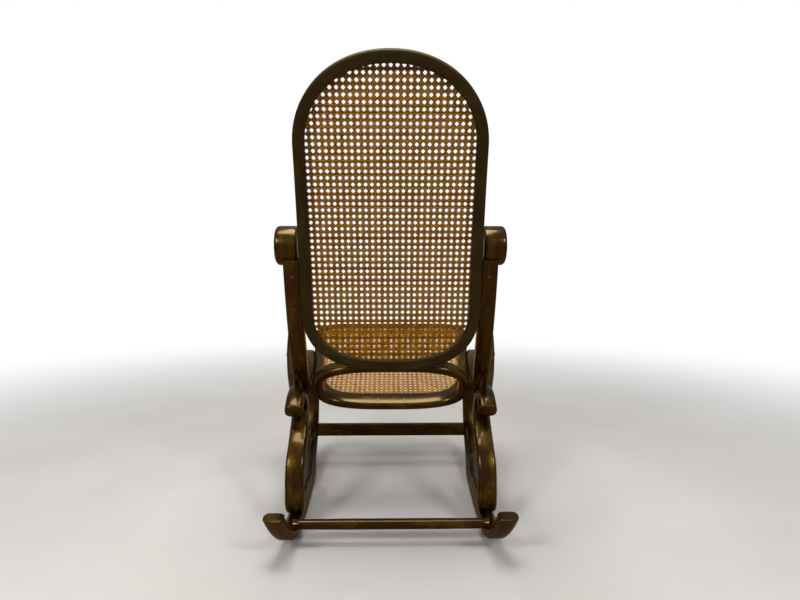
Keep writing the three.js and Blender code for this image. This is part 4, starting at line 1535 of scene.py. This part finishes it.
@dataclass
class CrossPieces:
    """The oval ring under the back, the round rear rod and the flat front stretcher."""

    layout: Layout
    finishes: Finishes
    ring_width: float = 384.0
    ring_height: float = 158.0
    ring_wall: float = 23.0
    ring_depth: float = 33.0
    ring_edge: float = 8.0
    ring_lean: float = 0.5947
    ring_y: float = 85.0
    ring_z: float = 333.5
    ring_fullness: float = 2.9
    back_screw_x: float = 48.0
    back_screw_shift: float = 6.0
    rod_y: float = 252.0
    rod_z: float = 51.5
    rod_reach: float = 222.0
    rod_radius: float = 12.0
    rod_facets: int = 40
    rod_cuts: int = 24
    rod_end_edge: float = 1.5
    rod_taper: float = 0.06
    rod_taper_from_share: float = 0.3
    stretcher_y: float = -347.0
    stretcher_z: float = 91.5
    stretcher_reach: float = 236.0
    stretcher_height: float = 40.0
    stretcher_thickness: float = 16.0
    stretcher_edge: float = 4.5
    stretcher_cuts: int = 30

    def on_ring(self, places: Point) -> Point:
        """Lays flat points (across, up, through) on the leaning ring."""
        c, s = math.cos(self.ring_lean), math.sin(self.ring_lean)
        return np.c_[places[:, 0], self.ring_y + places[:, 1] * s + places[:, 2] * c,
                     self.ring_z + places[:, 1] * c - places[:, 2] * s]

    def back_screw(self, sign: float) -> tuple[Point, Point]:
        """Where a screw into the back has its head on the ring's inner face, and the way that it faces.

        Args:
            sign: the side of the chair.

        Returns:
            The place and the direction.
        """
        x, rise = sign * self.back_screw_x, self.ring_height / 2 - self.ring_wall
        inner, outer = self.on_ring(np.array([[x, rise, self.back_screw_shift],
                                              [x, rise + 1.0, self.back_screw_shift]]))
        return inner, inner - outer

    def build_ring(self) -> bpy.types.Object:
        """Builds the oval ring, rounded all over as a bent stick is.

        Returns:
            The ring.
        """
        turn = np.linspace(0, 2 * math.pi, 180, endpoint=False)
        outline = resampled(full_oval(turn, self.ring_width / 2, self.ring_height / 2, self.ring_fullness))
        ring = closed_hoop("leaning_ring", outline, self.ring_wall, self.ring_depth, self.ring_edge,
                           lambda p: self.on_ring(p - [0, 0, self.ring_depth / 2]), Figure.RING)
        return finished(ring, "oval_ring", self.finishes.varnished)

    def build_rod(self) -> bpy.types.Object:
        """Builds the turned rod, a little fuller at its middle.

        Returns:
            The rod.
        """
        nothing_selected()
        bpy.ops.mesh.primitive_cylinder_add(
            vertices=self.rod_facets, radius=self.rod_radius, depth=2 * self.rod_reach, end_fill_type="NGON",
            location=(0, 0, 0))
        rod = bpy.context.object
        rod.name = rod.data.name = "turned_rear_rod"
        edit_all(rod)
        pick(rod, lambda e: not runs_along(e))
        round_edges(self.rod_end_edge, facets=2)
        pick(rod, lambda e: runs_along(e) and e.calc_length() > self.rod_reach)
        bpy.ops.mesh.subdivide(number_cuts=self.rod_cuts)
        bpy.ops.object.mode_set(mode="OBJECT")
        keep_grain(rod, Figure.ROD.value)
        x, y, z = coordinates(rod).T
        slim = 1 - self.rod_taper * eased(np.abs(z) / self.rod_reach, self.rod_taper_from_share, 1.0)
        set_coordinates(rod, np.c_[z, self.rod_y + x * slim, self.rod_z + y * slim])
        return finished(rod, "rear_rod", self.finishes.varnished)

    def build_stretcher(self) -> bpy.types.Object:
        """Builds the flat stretcher, planed with soft edges.

        Returns:
            The stretcher.
        """
        bar = straight_bar("planed_front_stretcher", self.stretcher_height, self.stretcher_thickness,
                           2 * self.stretcher_reach, self.stretcher_edge, 0.0, self.stretcher_cuts)
        keep_grain(bar, Figure.STRETCHER.value)
        x, y, z = coordinates(bar).T
        set_coordinates(bar, np.c_[z - self.stretcher_reach, self.stretcher_y + y, self.stretcher_z + x])
        return finished(bar, "front_stretcher", self.finishes.varnished)

    def build(self) -> list[bpy.types.Object]:
        """Builds the three pieces."""
        return [self.build_ring(), self.build_rod(), self.build_stretcher()]


# Fasteners


@dataclass(frozen=True)
class FastenerSize:
    """Radius and height of a turned head and radius of its shank, in millimetres."""

    radius: float
    height: float
    shank: float


@dataclass
class Fasteners:
    """Slotted screws and domed bolts, each modelled once and copied to its place."""

    finishes: Finishes
    sides: SideFrames
    cross: CrossPieces
    screw: FastenerSize = FastenerSize(4.0, 2.0, 2.25)
    bolt: FastenerSize = FastenerSize(8.0, 3.0, 3.0)
    slot_width: float = 1.1
    slot_depth: float = 1.2
    head_facets: int = 32
    dome_reach_share: float = 0.3
    dome_height_share: float = 0.8
    end_band: float = 1.0
    back_screw_length: float = 31.0
    stretcher_shift: tuple[float, float, float] = (0.0, -7.3, 8.8)
    seat_screw_shift: tuple[float, float, float] = (0.0, 1.0, -5.4)
    masters: dict[tuple[float, float], bpy.types.Object] = field(default_factory=dict)

    def master(self, size: FastenerSize, length: float) -> bpy.types.Object:
        """A turned head with a sawn slot on a plain shank, modelled once for each size.

        Args:
            size: its radii and the head's height.
            length: the shank's length.

        Returns:
            The fastener, its top at the origin, facing +Z.
        """
        key = (size.radius, round(length, 1))
        if key in self.masters:
            return self.masters[key]
        nothing_selected()
        bpy.ops.mesh.primitive_cylinder_add(
            vertices=self.head_facets, radius=size.radius, depth=size.height, end_fill_type="NGON",
            location=(0, 0, 0))
        head = bpy.context.object
        set_coordinates(head, coordinates(head) - [0, 0, size.height / 2])
        edit_all(head)
        pick(head, lambda e: all(v.co.z > -TOUCH for v in e.verts))
        dome = min(size.radius * self.dome_reach_share, size.height * self.dome_height_share)
        round_edges(dome, facets=4)
        for place in (-self.slot_width / 2, self.slot_width / 2):
            bpy.ops.mesh.select_all(action="SELECT")
            bpy.ops.mesh.bisect(plane_co=(place, 0, 0), plane_no=(1, 0, 0))
        pick(head, lambda f: f.normal.z > ALIGNED and abs(f.calc_center_median().x) < self.slot_width / 2,
             Parts.FACES)
        bpy.ops.mesh.extrude_region_move(TRANSFORM_OT_translate={"value": (0, 0, -self.slot_depth)})
        pick(head, lambda f: f.normal.z < -ALIGNED and f.calc_center_median().z < TOUCH - size.height,
             Parts.FACES)
        bpy.ops.mesh.dissolve_faces()
        bpy.ops.mesh.inset(thickness=size.radius - size.shank)
        bpy.ops.mesh.extrude_region_move(TRANSFORM_OT_translate={"value": (0, 0, -length)})
        bpy.ops.object.mode_set(mode="OBJECT")
        self.masters[key] = head
        return head

    def place(self, node: str, size: FastenerSize) -> bpy.types.Object:
        """A fastener where its CAD node stands, or where the visible wood has moved it.

        Args:
            node: the CAD node.
            size: its radii and the head's height.

        Returns:
            The fastener, its head towards the same side as the node's.
        """
        points = np.array([v.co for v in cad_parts[node].data.vertices]) / MM
        middle = points.mean(0)
        axis = np.linalg.svd(points - middle)[2][0]
        along = (points - middle) @ axis
        spread = np.linalg.norm((points - middle) - along[:, None] * axis, axis=1)
        top, low = along.max(), along.min()
        if spread[along < low + self.end_band].max() > spread[along > top - self.end_band].max():
            axis, top, low = -axis, -low, -top
        tip, length, sign = middle + axis * top, top - low - size.height, math.copysign(1.0, middle[0])
        if "post" in node:
            tip, axis = self.sides.post_rear(float(tip[2]), sign)
        elif "ring_back" in node:
            (tip, axis), length = self.cross.back_screw(sign), self.back_screw_length
        elif "ring_seat" in node:
            tip = tip + self.seat_screw_shift
        elif "stretcher" in node:
            tip = tip + self.stretcher_shift
        piece = copy_of(self.master(size, length), f"{node}_turned")
        turn = Vector((0, 0, 1)).rotation_difference(Vector(axis)).to_matrix().to_4x4()
        piece.data.transform(Matrix.Translation(Vector(tip)) @ turn)
        return finished(piece, node, self.finishes.steel, crisp=30)

    def build(self) -> list[bpy.types.Object]:
        """Copies a fastener to each screw and bolt.

        Returns:
            The copies.
        """
        sizes = {node: self.screw if "screw" in node else self.bolt
                 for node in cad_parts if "screw" in node or "bolt" in node}
        pieces = [self.place(node, size) for node, size in sizes.items()]
        for master in self.masters.values():
            bpy.data.objects.remove(master)
        return pieces


# Studio


@dataclass(frozen=True)
class Lamp:
    """A square soft lamp: place and width in metres, power in watts."""

    name: str
    place: tuple[float, float, float]
    width: float
    power: float
    mirrored: bool = True


@dataclass
class Studio:
    """Plain pale floor, soft lamps and a camera where the photograph was taken from."""

    camera_place: tuple[float, float, float] = (0.0, 1.568, 0.662)
    yaw_degrees: float = 0.87
    pitch_degrees: float = 4.47
    lens: float = 27.05
    sensor_width: float = 36.0
    floor_width: float = 14.0
    floor_colour: str = "#dcd8d2"
    floor_light: str = "#e2ded9"
    floor_bounce: str = "#8c7250"
    fade_from: float = 0.8
    fade_to: float = 3.2
    sky_strength: float = 0.22
    aim: tuple[float, float, float] = (0.0, 0.0, 0.45)
    lamps: tuple[Lamp, ...] = (
        Lamp("overhead_softbox", (0.1, 0.3, 2.6), 1.2, 36.0),
        Lamp("left_softbox", (1.5, 2.3, 1.9), 0.6, 27.0),
        Lamp("right_softbox", (-1.5, 2.2, 2.0), 0.5, 20.0),
        Lamp("front_softbox", (0.4, -1.8, 2.1), 1.0, 10.0, mirrored=False),
    )

    def build(self) -> None:
        """Builds the floor, the world, the lamps and the camera."""
        nothing_selected()
        bpy.ops.mesh.primitive_plane_add(size=self.floor_width, location=(0, 0, 0))
        floor = bpy.context.object
        floor.name = "studio_floor"
        floor.data.materials.append(self.floor_material())
        self.light_world()
        for lamp in self.lamps:
            bpy.ops.object.light_add(type="AREA", location=lamp.place)
            light = bpy.context.object
            light.name = lamp.name
            light.data.size, light.data.energy = lamp.width, lamp.power
            light.visible_glossy = lamp.mirrored
            towards = Vector(self.aim) - Vector(lamp.place)
            light.rotation_euler = towards.to_track_quat("-Z", "Y").to_euler()
        camera = bpy.data.objects.new("photo_camera", bpy.data.cameras.new("photo_camera"))
        bpy.context.collection.objects.link(camera)
        camera.data.lens, camera.data.sensor_width = self.lens, self.sensor_width
        camera.location = self.camera_place
        yaw, pitch = math.radians(self.yaw_degrees), math.radians(self.pitch_degrees)
        level = math.cos(pitch)
        forward = Vector((-math.sin(yaw) * level, -math.cos(yaw) * level, -math.sin(pitch)))
        camera.rotation_euler = forward.to_track_quat("-Z", "Y").to_euler()
        bpy.context.scene.camera = camera
        bpy.context.scene.view_settings.view_transform = "Standard"

    def floor_material(self) -> bpy.types.Material:
        """Pale matt floor to the eye, no brighter than boards to the light that it throws back.

        Returns:
            The material, which fades to white away from the chair.
        """
        material, tree, surface = new_material("pale_matt_floor")
        place = add_node(tree, "ShaderNodeTexCoord").outputs["Object"]
        noise = add_node(tree, "ShaderNodeTexNoise", {"Vector": place, "Scale": 3.0, "Detail": 2.0})
        pale = add_node(tree, "ShaderNodeValToRGB", {0: noise.outputs["Fac"]},
                        ((0.3, self.floor_colour), (0.7, self.floor_light)))
        surface.inputs["Roughness"].default_value = 0.7
        away = add_node(tree, "ShaderNodeVectorMath", {0: place}, operation="LENGTH").outputs["Value"]
        fade = add_node(tree, "ShaderNodeMapRange", {
            "Value": away, "From Min": self.fade_from, "From Max": self.fade_to},
            interpolation_type="SMOOTHSTEP")
        seen = add_node(tree, "ShaderNodeLightPath").outputs["Is Camera Ray"]
        share = add_node(tree, "ShaderNodeMath", {0: fade.outputs["Result"], 1: seen}, operation="MULTIPLY")
        shown = add_node(tree, "ShaderNodeMix", {
            0: seen, 6: linear(self.floor_bounce), 7: pale.outputs["Color"]}, data_type="RGBA")
        tree.links.new(shown.outputs[2], surface.inputs["Base Color"])
        glow = add_node(tree, "ShaderNodeEmission", {"Color": (1, 1, 1, 1), "Strength": 1.0})
        both = add_node(tree, "ShaderNodeMixShader", {
            0: share.outputs[0], 1: surface.outputs["BSDF"], 2: glow.outputs["Emission"]})
        tree.links.new(both.outputs[0], tree.nodes["Material Output"].inputs["Surface"])
        return material

    def light_world(self) -> None:
        """A soft grey sky that the camera, also through what is clear, sees as white."""
        world = bpy.data.worlds.new("soft_studio")
        bpy.context.scene.world = world
        world.use_nodes = True
        tree = world.node_tree
        path = add_node(tree, "ShaderNodeLightPath")
        seen = add_node(tree, "ShaderNodeMath", {
            0: path.outputs["Is Camera Ray"], 1: path.outputs["Is Transmission Ray"]}, operation="MAXIMUM")
        strength = add_node(tree, "ShaderNodeMapRange", {
            "Value": seen.outputs[0], "To Min": self.sky_strength, "To Max": 1.0})
        background = tree.nodes["Background"]
        background.inputs["Color"].default_value = (1, 1, 1, 1)
        tree.links.new(strength.outputs["Result"], background.inputs["Strength"])


def main() -> None:
    """Builds the chair's pieces in order."""
    layout, finishes = Layout(), Finishes()
    sides, cross = SideFrames(layout, finishes), CrossPieces(layout, finishes)
    for part in (sides, Back(layout, finishes), Seat(layout, finishes), cross,
                 Fasteners(finishes, sides, cross)):
        for piece in part.build():
            LOG.info("built %s", piece.name)
    for name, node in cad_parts.items():
        if "dowel" in name:
            node.data.materials.clear()
            node.data.materials.append(finishes.varnished)
    Studio().build()


if __name__ == "__main__":
    main()
